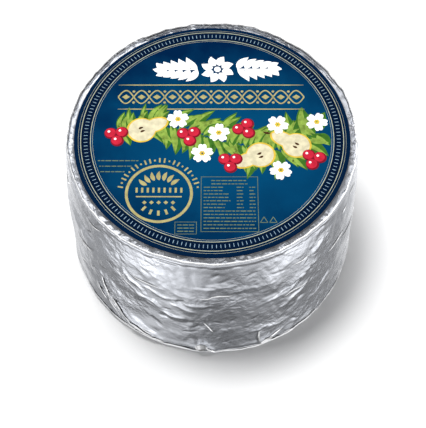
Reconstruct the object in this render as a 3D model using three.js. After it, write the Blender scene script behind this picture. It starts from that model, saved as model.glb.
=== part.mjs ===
// A whole wheel of blue cheese, wrapped in aluminium foil, with a round printed label on its top.
//
// The wheel is one closed solid: the cheese can't be seen, so the foil and what it holds are one body. Its side
// flares a little towards the base and bulges, the foil is dented along the side, pinched into a thin ridge round
// the top panel, folded under along the bottom edge, tucked at the front and pleated below. The label is a thin
// disc that lies on the top panel, its edge following the panel's slope.
//
// Millimetres, +Z up. The origin is the centre of the base. Azimuths are measured from the front, which is -Y,
// turning towards +X.

import * as THREE from "three";

// Driving dimensions.
const LABEL_RADIUS = 84;
const LABEL_THICKNESS = 0.4;
const WHEEL_HEIGHT = 112;
const BASE_RADIUS = 94.2;
const SHOULDER_RADIUS = 90.4;
const SIDE_BULGE = 1.3;

// The top panel and the pinched ridge round it.
const PANEL_FLAT_RADIUS = LABEL_RADIUS - 3.5;
const PANEL_EDGE_DROP = 0.4;
const SEAT_GAP = 0.15;
const RIDGE_RADIUS = LABEL_RADIUS + 3.6;
const RIDGE_DROP = 1.1;
const RIDGE_RISE = 0.7;
const RIDGE_WIDTH = 0.7;
const RIDGE_WANDER = 0.55;
const SHOULDER_DROP = 5;

// The bottom edge: its rounding, and the lip of foil folded under.
const BASE_ROUNDING = 5;
const LIP_HEIGHT = 6;
const LIP_RISE = 0.8;
const LIP_WIDTH = 2.2;

// Dents in the side: shallow, long along the girth, and slightly tilted.
const DENT_COUNT = 40;
const DENT_SEED = 20417;
const DENT_HALF_LENGTH = [13, 25];
const DENT_HALF_WIDTH = [4.2, 7.5];
const DENT_DEPTH = [0.6, 1.4];
const DENT_TILT = 0.35;
const DENT_MARGIN = 12;

// Long folds of foil gathered at the front left, and the tucks at the bottom edge.
const GATHERS = [
  { azimuth: -44, height: 40, length: 26, tilt: -0.95, rise: 1.1 },
  { azimuth: -35, height: 22, length: 17, tilt: -0.6, rise: 1.2 },
  { azimuth: -28, height: 11, length: 13, tilt: -0.25, rise: 0.9 },
];
const GATHER_HALF_WIDTH = 2.6;
const TUCKS = [
  { azimuth: -2, height: 7, halfWidth: 5.5, rise: 1.6 },
  { azimuth: 19, height: 11, halfWidth: 4, rise: 0.9 },
  { azimuth: 141, height: 8, halfWidth: 5, rise: 1.3 },
  { azimuth: -118, height: 9, halfWidth: 5.5, rise: 1.4 },
];

// Pleats under the base, which stay above the plane that the wheel stands on.
const PLEAT_COUNT = 30;
const PLEAT_DEPTH = 0.9;
const PLEAT_INNER_RADIUS = 46;

// How finely the surfaces are divided.
const SEGMENTS = 120;
const SIDE_ROWS = 21;
const ROUNDING_ROWS = 3;

const TURN = 2 * Math.PI;
const PANEL_Z = WHEEL_HEIGHT;
const RIDGE_Z = PANEL_Z - RIDGE_DROP;
const SHOULDER_Z = PANEL_Z - SHOULDER_DROP;

const radians = (degrees) => (degrees * Math.PI) / 180;
const mix = (a, b, t) => a + (b - a) * t;
const bump = (x, halfWidth) => Math.exp(-((x / halfWidth) ** 2));

function smoothstep(low, high, x) {
  const t = Math.min(1, Math.max(0, (x - low) / (high - low)));
  return t * t * (3 - 2 * t);
}

// The signed angle from b to a, in radians, between half a turn each way.
function angleBetween(a, b) {
  return Math.atan2(Math.sin(a - b), Math.cos(a - b));
}

// Repeatable draws between 0 and 1.
function drawsFrom(seed) {
  let state = seed;
  return () => {
    state = (state * 16807) % 2147483647;
    return state / 2147483647;
  };
}

// The side's radius at a height, before any relief.
function sideRadius(z) {
  const share = z / WHEEL_HEIGHT;
  return mix(BASE_RADIUS, SHOULDER_RADIUS, share) + SIDE_BULGE * 4 * share * (1 - share);
}

function makeDents() {
  const draw = drawsFrom(DENT_SEED);
  const between = ([low, high]) => mix(low, high, draw());
  return Array.from({ length: DENT_COUNT }, () => ({
    azimuth: TURN * draw(),
    height: mix(DENT_MARGIN, SHOULDER_Z - DENT_MARGIN, draw()),
    halfLength: between(DENT_HALF_LENGTH),
    halfWidth: between(DENT_HALF_WIDTH),
    depth: between(DENT_DEPTH),
    tilt: DENT_TILT * (2 * draw() - 1),
  }));
}

const DENTS = makeDents();

// A bump or dent along a tilted line on the side: 1 on the line's middle, and 0 away from it.
function alongLine(azimuth, z, line, halfLength, halfWidth) {
  const across = angleBetween(azimuth, line.azimuth) * BASE_RADIUS;
  const up = z - line.height;
  const run = across * Math.cos(line.tilt) + up * Math.sin(line.tilt);
  const off = up * Math.cos(line.tilt) - across * Math.sin(line.tilt);
  return bump(run, halfLength) * bump(off, halfWidth);
}

// How far the side stands out from its plain radius.
function sideRelief(azimuth, z) {
  let relief = 0.45 * Math.sin(3 * azimuth + 0.7) + 0.3 * Math.sin(5 * azimuth + z / 26);
  relief += 0.25 * Math.sin(9 * azimuth - z / 17);
  for (const dent of DENTS)
    relief -= dent.depth * alongLine(azimuth, z, dent, dent.halfLength, dent.halfWidth);
  for (const gather of GATHERS) {
    const line = { azimuth: radians(gather.azimuth), height: gather.height, tilt: gather.tilt };
    relief += gather.rise * alongLine(azimuth, z, line, gather.length, GATHER_HALF_WIDTH);
  }
  relief += LIP_RISE * bump(z - LIP_HEIGHT, LIP_WIDTH);
  for (const tuck of TUCKS) {
    const across = angleBetween(azimuth, radians(tuck.azimuth)) * BASE_RADIUS;
    const narrowing = tuck.halfWidth * Math.max(0.3, 1 - z / (2 * tuck.height));
    relief += tuck.rise * bump(across, narrowing) * bump(z - tuck.height / 2, tuck.height);
  }
  return relief;
}

// The ridge wanders in and out, and up and down, as it goes round.
function ridgeWander(azimuth) {
  return RIDGE_WANDER * (Math.sin(7 * azimuth + 0.4) * 0.5 + Math.sin(13 * azimuth + 2.1) * 0.35
    + Math.sin(29 * azimuth + 0.9) * 0.3);
}

// The depth of the pleats under the base, from 0 on the crests to 1 in the valleys.
function pleat(azimuth) {
  const wave = Math.cos(PLEAT_COUNT * azimuth + 1.3 * Math.sin(4 * azimuth));
  return (0.5 - 0.5 * wave) ** 2;
}

// The wheel's outline from the middle of its base to the middle of its top.
function wheelOutline() {
  const outline = [[0, 0], [PLEAT_INNER_RADIUS, 0], [mix(PLEAT_INNER_RADIUS, BASE_RADIUS, 0.4), 0]];
  outline.push([mix(PLEAT_INNER_RADIUS, BASE_RADIUS, 0.7), 0]);
  const edgeRadius = sideRadius(BASE_ROUNDING);
  for (let row = 0; row <= ROUNDING_ROWS; row++) {
    const turn = (row / ROUNDING_ROWS) * (Math.PI / 2);
    outline.push([
      edgeRadius - BASE_ROUNDING * (1 - Math.sin(turn)),
      BASE_ROUNDING * (1 - Math.cos(turn)),
    ]);
  }
  for (let row = 1; row <= SIDE_ROWS; row++) {
    const z = mix(BASE_ROUNDING, SHOULDER_Z, row / SIDE_ROWS);
    outline.push([sideRadius(z), z]);
  }
  outline.push([SHOULDER_RADIUS - 0.7, mix(SHOULDER_Z, RIDGE_Z, 0.55)]);
  outline.push([RIDGE_RADIUS + RIDGE_WIDTH, RIDGE_Z]);
  outline.push([RIDGE_RADIUS, RIDGE_Z + RIDGE_RISE]);
  outline.push([RIDGE_RADIUS - RIDGE_WIDTH, RIDGE_Z]);
  outline.push([LABEL_RADIUS + 0.8, PANEL_Z - PANEL_EDGE_DROP - 0.2]);
  outline.push([PANEL_FLAT_RADIUS, PANEL_Z]);
  outline.push([0, PANEL_Z]);
  return outline.map(([radius, height]) => new THREE.Vector2(radius, height));
}

// Turns an outline round the vertical axis, with its seam at the front.
function turned(outline) {
  return new THREE.LatheGeometry(outline, SEGMENTS).rotateX(Math.PI / 2);
}

// Moves each vertex to the place that the relief gives it, from its radius, azimuth and height.
function reshaped(geometry, relief) {
  const position = geometry.getAttribute("position");
  for (let i = 0; i < position.count; i++) {
    const radius = Math.hypot(position.getX(i), position.getY(i));
    if (radius < 1e-6) continue;
    const azimuth = Math.atan2(position.getX(i), -position.getY(i));
    const z = position.getZ(i);
    const moved = relief(radius, azimuth, z);
    position.setXYZ(i, moved.radius * Math.sin(azimuth), -moved.radius * Math.cos(azimuth), moved.z);
  }
  geometry.computeVertexNormals();
  return geometry;
}

function foilRelief(radius, azimuth, z) {
  if (z < 1e-6) {
    const reach = smoothstep(PLEAT_INNER_RADIUS, BASE_RADIUS - BASE_ROUNDING, radius);
    return { radius, z: PLEAT_DEPTH * reach * pleat(azimuth) };
  }
  if (radius > RIDGE_RADIUS - 2 * RIDGE_WIDTH && z > SHOULDER_Z + 1e-6) {
    const nearRidge = bump(radius - RIDGE_RADIUS, 2 * RIDGE_WIDTH);
    const wander = ridgeWander(azimuth);
    return { radius: radius + wander * nearRidge, z: z + 0.6 * wander * nearRidge };
  }
  if (z > SHOULDER_Z + 1e-6) return { radius, z };
  const fade = 1 - smoothstep(SHOULDER_Z - 8, SHOULDER_Z + 2, z);
  return { radius: radius + sideRelief(azimuth, z) * fade, z };
}

function foilWheel() {
  const material = new THREE.MeshStandardMaterial({ color: 0xc8cacf, roughness: 0.32, metalness: 1 });
  const mesh = new THREE.Mesh(reshaped(turned(wheelOutline()), foilRelief), material);
  mesh.name = "foil_wheel";
  return mesh;
}

// The label's outline: a thin disc whose edge slopes down with the panel.
function labelOutline() {
  const flat = PANEL_FLAT_RADIUS - 0.5;
  const bottom = PANEL_Z + SEAT_GAP;
  const top = bottom + LABEL_THICKNESS;
  const rows = [
    [0, bottom],
    [flat, bottom],
    [LABEL_RADIUS, bottom - PANEL_EDGE_DROP],
    [LABEL_RADIUS, top - PANEL_EDGE_DROP],
    [flat, top],
    [0, top],
  ];
  return rows.map(([radius, height]) => new THREE.Vector2(radius, height));
}

function label() {
  const material = new THREE.MeshStandardMaterial({ color: 0x06406a, roughness: 0.4, metalness: 0 });
  const mesh = new THREE.Mesh(turned(labelOutline()), material);
  mesh.name = "label";
  return mesh;
}

const wrappedWheel = new THREE.Group();
wrappedWheel.add(foilWheel(), label());

export default wrappedWheel;
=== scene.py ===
"""A whole wheel of blue cheese in aluminium foil, with a round printed label on its top.

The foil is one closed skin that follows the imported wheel's own surface and adds what foil takes on when it
is pressed round a cheese: facets of several sizes, wrinkles, a pinched ridge round the top panel, crinkles
between the ridge and the label, a folded hem and pleats under the base. A second piece lays the sharp
creases that catch the light on it. The label is a thin disc of printed paper. Its print is made of thin
plates of ink that follow the label's face: rings and ticks round the border, rules, a white ornament, a
running gold ornament, a garland, a round seal and a small panel of rows.

Metres, +Z up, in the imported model's frame. Azimuths are measured from the front, -Y, turning towards +X.
"""

import logging
import math
import random
from collections.abc import Callable
from dataclasses import dataclass, field
from enum import Enum
from functools import partial

import bpy
import numpy as np
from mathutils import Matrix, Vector
from mathutils.bvhtree import BVHTree


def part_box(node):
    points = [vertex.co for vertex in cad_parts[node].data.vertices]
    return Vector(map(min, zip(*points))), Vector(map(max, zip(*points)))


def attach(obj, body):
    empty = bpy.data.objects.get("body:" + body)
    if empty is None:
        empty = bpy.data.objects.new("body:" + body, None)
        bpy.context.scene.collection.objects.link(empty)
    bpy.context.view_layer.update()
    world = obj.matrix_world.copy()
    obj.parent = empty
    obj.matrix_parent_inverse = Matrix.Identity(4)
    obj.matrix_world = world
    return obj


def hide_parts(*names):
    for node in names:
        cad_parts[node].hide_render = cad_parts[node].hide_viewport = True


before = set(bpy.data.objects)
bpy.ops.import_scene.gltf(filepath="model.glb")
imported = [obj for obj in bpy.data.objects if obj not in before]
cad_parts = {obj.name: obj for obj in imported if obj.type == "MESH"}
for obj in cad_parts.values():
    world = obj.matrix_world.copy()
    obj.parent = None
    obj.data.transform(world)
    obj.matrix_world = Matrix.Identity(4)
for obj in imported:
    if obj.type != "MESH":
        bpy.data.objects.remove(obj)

MM = 0.001
TURN = 2 * math.pi
SIDE_RADIUS = 93 * MM
BODY = "root"
WHEEL_NODE = "foil_wheel"
LABEL_NODE = "label"
# The vertex value that holds where the foil carries painted shade: in creases, inside the ridge and along
# the label's edge.
PAINTED_SHADE_ATTRIBUTE = "painted_shade"
CLOUDY = (0.3, 0.7)

log = logging.getLogger("wheel")

Point = tuple[float, float]
Colour = tuple[float, float, float]
Spot = tuple[float, float, float, float]
Socket = bpy.types.NodeSocket
Array = np.ndarray
Piece = bpy.types.Object


class Slot(Enum):
    """The record's material slots."""

    FOIL = "foil"
    LABEL = "label_print"


def mix(a: float, b: float, t: float) -> float:
    """Returns the value a share t of the way from a to b."""
    return a + (b - a) * t


def smoothstep(low: float, high: float, x: Array | float) -> Array | float:
    """Returns how far x has risen from low to high, from 0 to 1 and eased at both ends."""
    t = np.clip((x - low) / (high - low), 0.0, 1.0)
    return t * t * (3 - 2 * t)


def bump(x: Array, half_width: float) -> Array:
    """Returns a smooth bump of height 1 at x = 0."""
    return np.exp(-((x / half_width) ** 2))


def angle_between(a: Array, b: float) -> Array:
    """Returns the signed angles from b to a, within half a turn each way."""
    return np.arctan2(np.sin(a - b), np.cos(a - b))


class Grain:
    """Repeatable noise, read at arrays of points whose last axis holds x, y and z in cells."""

    LAST = 255
    GAIN = 1.6
    PULL = 0.3
    PULL_SHIFTS = (3.1, 17.4, 41.7)
    HIGHEST_FACET = 1.5

    def __init__(self, seed: int) -> None:
        """Draws the tables that the noise is read from.

        Args:
            seed: what the draws start from.
        """
        draw = np.random.default_rng(seed)
        self.order = draw.permutation(self.LAST + 1)
        slopes = draw.normal(size=(self.LAST + 1, 3))
        self.slopes = slopes / np.linalg.norm(slopes, axis=1, keepdims=True)
        self.jitter = draw.random((self.LAST + 1, 3))

    def _pick(self, cell: Array) -> Array:
        """Returns each cell's place in the tables."""
        x, y, z = (cell[..., axis] & self.LAST for axis in range(3))
        row = self.order[(self.order[x] + y) & self.LAST]
        return self.order[(row + z) & self.LAST]

    def swell(self, place: Array) -> Array:
        """Reads smooth noise.

        Args:
            place: the points.

        Returns:
            The noise there, from about -1 to 1.
        """
        cell = np.floor(place).astype(int)
        part = place - cell
        ease = part * part * part * (part * (part * 6 - 15) + 10)
        total = np.zeros(place.shape[:-1])
        for corner in np.ndindex(2, 2, 2):
            away = part - corner
            slope = self.slopes[self._pick(cell + corner)]
            weight = np.prod(np.where(corner, ease, 1 - ease), axis=-1)
            total += weight * np.sum(slope * away, axis=-1)
        return self.GAIN * total

    def facets(self, place: Array) -> Array:
        """Reads flat facets with crisp creases between them.

        Args:
            place: the points.

        Returns:
            The facets' heights, from 0 in the creases up to about 1.5.
        """
        pulls = [self.swell(0.8 * place + shift) for shift in self.PULL_SHIFTS]
        warped = place + self.PULL * np.stack(pulls, axis=-1)
        cell = np.floor(warped).astype(int)
        first = np.full(place.shape[:-1], 9.0)
        second = first.copy()
        for step in np.ndindex(3, 3, 3):
            near = cell + np.array(step) - 1
            square = np.sum((near + self.jitter[self._pick(near)] - warped) ** 2, axis=-1)
            second = np.minimum(second, np.maximum(first, square))
            first = np.minimum(first, square)
        return np.minimum(self.HIGHEST_FACET, second - first)


def round_noise(azimuth: Array, waves: float, seed: int, third: Array | float = 0.0) -> Array:
    """Returns noise that closes on itself round the wheel, with about so many waves to the turn."""
    across, ahead = waves * np.sin(azimuth) / 4, waves * np.cos(azimuth) / 4
    return Grain(seed).swell(np.stack([across, ahead, azimuth * 0 + third], axis=1))


def around(azimuth: Array, radius: Array, z: Array) -> Array:
    """Returns points from their directions, distances from the axis and heights, one row each."""
    return np.stack([radius * np.sin(azimuth), -radius * np.cos(azimuth), z], axis=1)


class Bench:
    """The modelling bench: adding a primitive, working on it in edit mode and finishing it."""

    @staticmethod
    def clear() -> None:
        """Deselects everything, so that a tool acts on nothing but what comes next."""
        bpy.ops.object.select_all(action="DESELECT")

    @staticmethod
    def take(piece: Piece) -> None:
        """Makes a piece the one that tools act on."""
        Bench.clear()
        piece.select_set(True)
        bpy.context.view_layer.objects.active = piece

    @staticmethod
    def weld(piece: Piece, distance: float) -> None:
        """Merges vertices that lie together and turns all faces outwards.

        Args:
            piece: the mesh to weld.
            distance: how near two vertices are when they become one.
        """
        Bench.take(piece)
        bpy.ops.object.mode_set(mode="EDIT")
        bpy.ops.mesh.select_all(action="SELECT")
        bpy.ops.mesh.remove_doubles(threshold=distance)
        bpy.ops.mesh.normals_make_consistent(inside=False)
        bpy.ops.object.mode_set(mode="OBJECT")

    @staticmethod
    def joined(name: str, parts: list[Piece]) -> Piece:
        """Joins parts to one piece.

        Args:
            name: the piece's name.
            parts: what it is made of.

        Returns:
            The piece.
        """
        Bench.clear()
        for part in parts:
            part.select_set(True)
        bpy.context.view_layer.objects.active = parts[0]
        bpy.ops.object.join()
        piece = bpy.context.object
        piece.name = name
        return piece

    @staticmethod
    def turned(name: str, profile: list[Point], steps: int) -> Piece:
        """Draws a profile from one vertex by extrusion and spins it round the vertical axis.

        Args:
            name: the piece's name.
            profile: (radius, height) of each point, starting and ending on the axis.
            steps: how many steps the turn takes.

        Returns:
            The closed, welded piece.
        """
        Bench.clear()
        radius, height = profile[0]
        bpy.ops.mesh.primitive_plane_add(size=MM, location=(0, 0, 0))
        piece = bpy.context.object
        piece.name = name
        bpy.ops.object.mode_set(mode="EDIT")
        bpy.ops.mesh.select_all(action="SELECT")
        bpy.ops.mesh.merge(type="CENTER")
        bpy.ops.transform.translate(value=(radius, 0, height))
        for (r0, z0), (r1, z1) in zip(profile, profile[1:]):
            step = (r1 - r0, 0, z1 - z0)
            bpy.ops.mesh.extrude_region_move(TRANSFORM_OT_translate={"value": step})
        bpy.ops.mesh.select_all(action="SELECT")
        bpy.ops.mesh.spin(steps=steps, angle=TURN, center=(0, 0, 0), axis=(0, 0, 1))
        bpy.ops.object.mode_set(mode="OBJECT")
        Bench.weld(piece, 0.02 * MM)
        return piece

    @staticmethod
    def reshape(piece: Piece, place: Callable[[Array], Array]) -> None:
        """Moves every vertex of a piece.

        Args:
            piece: the mesh to shape.
            place: gives the vertices' new places from their old ones, one row each.
        """
        vertices = piece.data.vertices
        flat = np.empty(3 * len(vertices))
        vertices.foreach_get("co", flat)
        vertices.foreach_set("co", place(flat.reshape(-1, 3)).ravel())
        piece.data.update()

    @staticmethod
    def note(piece: Piece, name: str, value: Callable[[Array], Array]) -> None:
        """Keeps a value at every vertex, for the piece's material to read.

        Args:
            piece: the mesh that carries it.
            name: what the material calls it.
            value: gives the values from the vertices' places, one row each.
        """
        flat = np.empty(3 * len(piece.data.vertices))
        piece.data.vertices.foreach_get("co", flat)
        kept = piece.data.attributes.new(name, "FLOAT", "POINT")
        kept.data.foreach_set("value", value(flat.reshape(-1, 3)).astype(np.float32))

    @staticmethod
    def dress(
        piece: Piece,
        material: bpy.types.Material,
        slot: Slot,
        replaces: str | None = None,
    ) -> None:
        """Gives a piece its material, says what it rides on and hides the node that it stands for.

        Args:
            piece: the finished piece.
            material: its material.
            slot: not used.
            replaces: the node that the piece replaces, if any.
        """
        Bench.take(piece)
        bpy.ops.object.transform_apply(location=True, rotation=True, scale=True)
        piece.data.materials.clear()
        piece.data.materials.append(material)
        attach(piece, BODY)
        if replaces:
            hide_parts(replaces)
        log.info("%s: %d faces", piece.name, len(piece.data.polygons))


class Nodes:
    """Shader nodes, wired one after another on one kind of coordinates."""

    def __init__(self, tree: bpy.types.NodeTree, coordinates: str) -> None:
        """Starts on a tree, with the kind of coordinates that the patterns read."""
        self.tree = tree
        self.place = self.add("TexCoord").outputs[coordinates]

    def add(self, kind: str, inputs: dict | None = None, **settings: object) -> bpy.types.Node:
        """Adds a node.

        Args:
            kind: the node's type, without its ShaderNode prefix.
            inputs: what each input is set to or linked from.
            settings: the node's own properties.

        Returns:
            The new node.
        """
        node = self.tree.nodes.new("ShaderNode" + kind)
        for key, value in settings.items():
            setattr(node, key, value)
        for key, value in (inputs or {}).items():
            if isinstance(value, Socket):
                self.tree.links.new(value, node.inputs[key])
            else:
                node.inputs[key].default_value = value
        return node

    def clouds(
        self, scale: float, detail: float, place: Socket | None = None, distortion: float = 0.0
    ) -> Socket:
        """Returns a cloudy pattern around 0.5, its scale being the number of clouds to a metre."""
        inputs = {"Scale": scale, "Detail": detail, "Distortion": distortion}
        return self.add("TexNoise", {"Vector": place or self.place, **inputs}).outputs[0]

    def sum(self, operation: str, first: Socket, second: Socket | float = 0.0) -> Socket:
        """Returns the result of a sum on two values, or on the first where it takes only one."""
        return self.add("Math", {0: first, 1: second}, operation=operation).outputs[0]

    def ranged(self, value: Socket, low: float, high: float, start: float, end: float) -> Socket:
        """Returns a value mapped so that start gives low and end gives high."""
        inputs = {"Value": value, "From Min": start, "From Max": end, "To Min": low, "To Max": high}
        return self.add("MapRange", inputs).outputs[0]


class Recipe(Nodes):
    """A material's nodes, on Object coordinates."""

    def __init__(self, name: str) -> None:
        """Starts a material with a plain surface shader.

        Args:
            name: the material's name.
        """
        self.material = bpy.data.materials.new(name)
        self.material.use_nodes = True
        super().__init__(self.material.node_tree, "Object")
        self.shader = self.tree.nodes["Principled BSDF"]

    def stretched(self, scale: tuple[float, float, float]) -> Socket:
        """Returns the Object coordinates, scaled along each axis."""
        return self.add("Mapping", {"Vector": self.place, "Scale": scale}).outputs[0]

    def facets(self, scale: float, place: Socket) -> Socket:
        """Adds flat facets with crisp creases between them, as crumpled foil has.

        Args:
            scale: how many facets to a metre.
            place: the coordinates it reads.

        Returns:
            The facets' heights.
        """
        squares = []
        for feature in ("F2", "F1"):
            cells = self.add("TexVoronoi", {"Vector": place, "Scale": scale}, feature=feature)
            distance = cells.outputs["Distance"]
            squares.append(self.sum("MULTIPLY", distance, distance))
        return self.sum("SUBTRACT", squares[0], squares[1])

    def blended(self, share: Socket, first: Colour, second: Colour) -> Socket:
        """Returns a colour between two, by a share."""
        return self.covered((*first, 1), second, share)

    def covered(self, under: Socket | tuple[float, ...], colour: Colour, share: Socket) -> Socket:
        """Returns a colour laid over another by a share."""
        return self.add("Mix", {0: share, 6: under, 7: (*colour, 1)}, data_type="RGBA").outputs[2]

    def raised(self, heights: list[tuple[Socket, float]]) -> None:
        """Adds fine relief to the shader's normal, layer on layer.

        Args:
            heights: each layer's pattern and how high it stands in metres.
        """
        normal = None
        for pattern, height in heights:
            inputs = {"Height": pattern, "Distance": height, "Strength": 1.0}
            if normal:
                inputs["Normal"] = normal
            normal = self.add("Bump", inputs).outputs[0]
        self.tree.links.new(normal, self.shader.inputs["Normal"])

    def set(self, **inputs: object) -> None:
        """Sets or links the shader's inputs, whose names are given with underscores for blanks."""
        for key, value in inputs.items():
            socket = self.shader.inputs[key.replace("_", " ")]
            if isinstance(value, Socket):
                self.tree.links.new(value, socket)
            else:
                socket.default_value = value


@dataclass(frozen=True)
class FoilFinish:
    """Satin aluminium foil with fine crumpling, cloudy rubbed patches and painted shade in its creases.

    Each pattern's scale is how many of it there are to a metre.
    """

    name: str = "satin_foil"
    bright: Colour = (0.775, 0.80, 0.86)
    dull: Colour = (0.625, 0.648, 0.70)
    # Painted shade: the dark colour that creases, the inside of the ridge and the label's edge are darkened
    # towards.
    deep_shade: Colour = (0.13, 0.133, 0.142)
    smooth: float = 0.11
    rough: float = 0.27
    patch_scale: float = 38
    patch_pull: float = 0.4
    crease_scale: tuple[float, float, float] = (115, 115, 80)
    crease_height: float = 0.34 * MM
    crumple_scale: float = 190
    crumple_height: float = 0.17 * MM
    fine_scale: float = 480
    fine_height: float = 0.045 * MM
    grain_scale: float = 2600
    grain_height: float = 0.006 * MM
    worked_scale: float = 24
    worked_strength: Point = (0.2, 1.2)
    worked_clouds: Point = (0.42, 0.62)
    warp_scale: float = 90
    warp_reach: float = 4 * MM

    def material(self) -> bpy.types.Material:
        """Returns the foil's material."""
        recipe = Recipe(self.name)
        patches = recipe.clouds(self.patch_scale, 4, distortion=self.patch_pull)
        metal = recipe.blended(recipe.ranged(patches, 0, 1, *CLOUDY), self.bright, self.dull)
        # Painted shade: the metal is darkened towards the shade colour wherever its vertices carry it.
        painted_shade = recipe.add("Attribute", attribute_name=PAINTED_SHADE_ATTRIBUTE).outputs["Fac"]
        recipe.set(
            Base_Color=recipe.covered(metal, self.deep_shade, painted_shade),
            Metallic=1.0,
            Roughness=recipe.ranged(patches, self.smooth, self.rough, *CLOUDY),
        )
        recipe.raised(self._relief(recipe))
        return recipe.material

    def _relief(self, recipe: Recipe) -> list[tuple[Socket, float]]:
        """Returns the relief's patterns and heights: stronger where worked, and an even grain."""
        streaks = recipe.clouds(1, 3, recipe.stretched(self.crease_scale), 1.0)
        creases = recipe.sum("ABSOLUTE", recipe.sum("SUBTRACT", streaks, 0.5))
        warped = self._warped(recipe)
        clouds = recipe.clouds(self.worked_scale, 3)
        worked = recipe.ranged(clouds, *self.worked_strength, *self.worked_clouds)
        layers = [
            (creases, self.crease_height),
            (recipe.facets(self.crumple_scale, warped), self.crumple_height),
            (recipe.facets(self.fine_scale, warped), self.fine_height),
        ]
        stronger = [(recipe.sum("MULTIPLY", layer, worked), height) for layer, height in layers]
        return [*stronger, (recipe.clouds(self.grain_scale, 2), self.grain_height)]

    def _warped(self, recipe: Recipe) -> Socket:
        """Returns slightly wandering coordinates, which keep the facets from looking regular."""
        clouds = recipe.add("TexNoise", {"Vector": recipe.place, "Scale": self.warp_scale, "Detail": 2.0})
        inputs = {0: clouds.outputs["Color"], "Scale": self.warp_reach}
        offset = recipe.add("VectorMath", inputs, operation="SCALE").outputs[0]
        return recipe.add("VectorMath", {0: recipe.place, 1: offset}, operation="ADD").outputs[0]


@dataclass(frozen=True)
class LabelFinish:
    """Blue printed paper: a lighter pool below the middle, darker at the top, navy bands at the border.

    The pool's and the shade's reaches and the rings are shares of the label's radius.
    """

    pool: Colour = (0.0012, 0.054, 0.138)
    field_blue: Colour = (0.0010, 0.036, 0.098)
    shade: Colour = (0.0004, 0.0125, 0.050)
    band: Colour = (0.0015, 0.0075, 0.026)
    edge: Colour = (0.0015, 0.012, 0.040)
    inner_ring: float = 0.8798
    outer_ring: float = 0.9505
    ring_blur: float = 0.02 * MM
    pool_middle: Point = (10, -8)
    pool_reach: Point = (0.3, 0.86)
    shade_reach: Point = (0.82, 1.25)
    squeeze: float = 1.35
    mottle_scale: float = 60
    mottle_reach: float = 12 * MM
    satin: Point = (0.42, 0.55)
    grain_scale: float = 420
    grain_height: float = 0.02 * MM

    def material(self, radius: float) -> bpy.types.Material:
        """Returns the label's material.

        Args:
            radius: the label's radius.
        """
        recipe = Recipe("printed_blue")
        mottle = recipe.clouds(self.mottle_scale, 4)
        parts = recipe.add("SeparateXYZ", {0: recipe.place})
        flat = recipe.add("CombineXYZ", {0: parts.outputs[0], 1: parts.outputs[1]}).outputs[0]
        distance = recipe.add("VectorMath", {0: flat}, operation="LENGTH").outputs["Value"]
        blue = self._field(recipe, flat, mottle, radius)
        inner, outer = (
            self._step(recipe, distance, ring * radius) for ring in (self.inner_ring, self.outer_ring)
        )
        recipe.set(
            Base_Color=recipe.covered(recipe.covered(blue, self.band, inner), self.edge, outer),
            Roughness=recipe.ranged(mottle, *self.satin, *CLOUDY),
            Specular_IOR_Level=0.0,
        )
        recipe.raised([(recipe.clouds(self.grain_scale, 3), self.grain_height)])
        return recipe.material

    def _field(self, recipe: Recipe, flat: Socket, mottle: Socket, radius: float) -> Socket:
        """Colours the field inside the border: the pool, its uneven edge and the darker top."""
        inputs = {0: flat, 1: (1.0, self.squeeze, 1.0)}
        squeezed = recipe.add("VectorMath", inputs, operation="MULTIPLY").outputs[0]
        inputs = {0: squeezed, 1: (self.pool_middle[0] * MM, self.pool_middle[1] * self.squeeze * MM, 0)}
        away = recipe.add("VectorMath", inputs, operation="DISTANCE").outputs["Value"]
        ragged = recipe.ranged(mottle, -self.mottle_reach, self.mottle_reach, *CLOUDY)
        uneven = recipe.sum("ADD", away, ragged)
        outside, shaded = (
            recipe.ranged(uneven, 0, 1, *(share * radius for share in reach))
            for reach in (self.pool_reach, self.shade_reach)
        )
        return recipe.covered(recipe.blended(outside, self.pool, self.field_blue), self.shade, shaded)

    def _step(self, recipe: Recipe, distance: Socket, edge: float) -> Socket:
        """Returns 0 inside a radius and 1 outside it."""
        return recipe.ranged(distance, 0, 1, edge - self.ring_blur, edge + self.ring_blur)


@dataclass(frozen=True)
class InkFinish:
    """An ink of one colour, slightly uneven where it lies on the paper."""

    name: str
    colour: Colour
    roughness: float = 0.42
    roughness_swing: float = 0.05
    unevenness: float = 0.12
    cover_scale: float = 300
    cover_clouds: Point = (0.35, 0.65)
    grain_scale: float = 900
    grain_height: float = 0.008 * MM

    def material(self) -> bpy.types.Material:
        """Returns the ink's material."""
        recipe = Recipe(self.name)
        darker = tuple(channel * (1 - 2 * self.unevenness) for channel in self.colour)
        cover = recipe.clouds(self.cover_scale, 3)
        satin = (self.roughness - self.roughness_swing, self.roughness + self.roughness_swing)
        recipe.set(
            Base_Color=recipe.blended(recipe.ranged(cover, 0, 1, *self.cover_clouds), self.colour, darker),
            Roughness=recipe.ranged(cover, *satin, *CLOUDY),
            Specular_IOR_Level=0.02,
        )
        recipe.raised([(recipe.clouds(self.grain_scale, 2), self.grain_height)])
        return recipe.material


class Ink(Enum):
    """The inks that the label is printed with."""

    WHITE = InkFinish("white_ink", (0.93, 0.95, 0.95), unevenness=0.01)
    GOLD = InkFinish("gold_ink", (0.42, 0.37, 0.16))
    FAINT_GOLD = InkFinish("faint_gold_ink", (0.15, 0.20, 0.12))
    PALE_GOLD = InkFinish("pale_gold_ink", (0.45, 0.48, 0.37))
    PALE = InkFinish("pale_ink", (0.28, 0.42, 0.52))
    CREAM = InkFinish("cream_ink", (0.72, 0.66, 0.45))
    LIGHT_GREEN = InkFinish("light_green_ink", (0.27, 0.41, 0.07), unevenness=0.2)
    DARK_GREEN = InkFinish("dark_green_ink", (0.05, 0.16, 0.02))
    RED = InkFinish("red_ink", (0.55, 0.02, 0.045))
    DARK_RED = InkFinish("dark_red_ink", (0.22, 0.008, 0.02))
    YELLOW = InkFinish("yellow_ink", (0.72, 0.5, 0.06))
    BROWN = InkFinish("brown_ink", (0.07, 0.03, 0.012))


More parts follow.
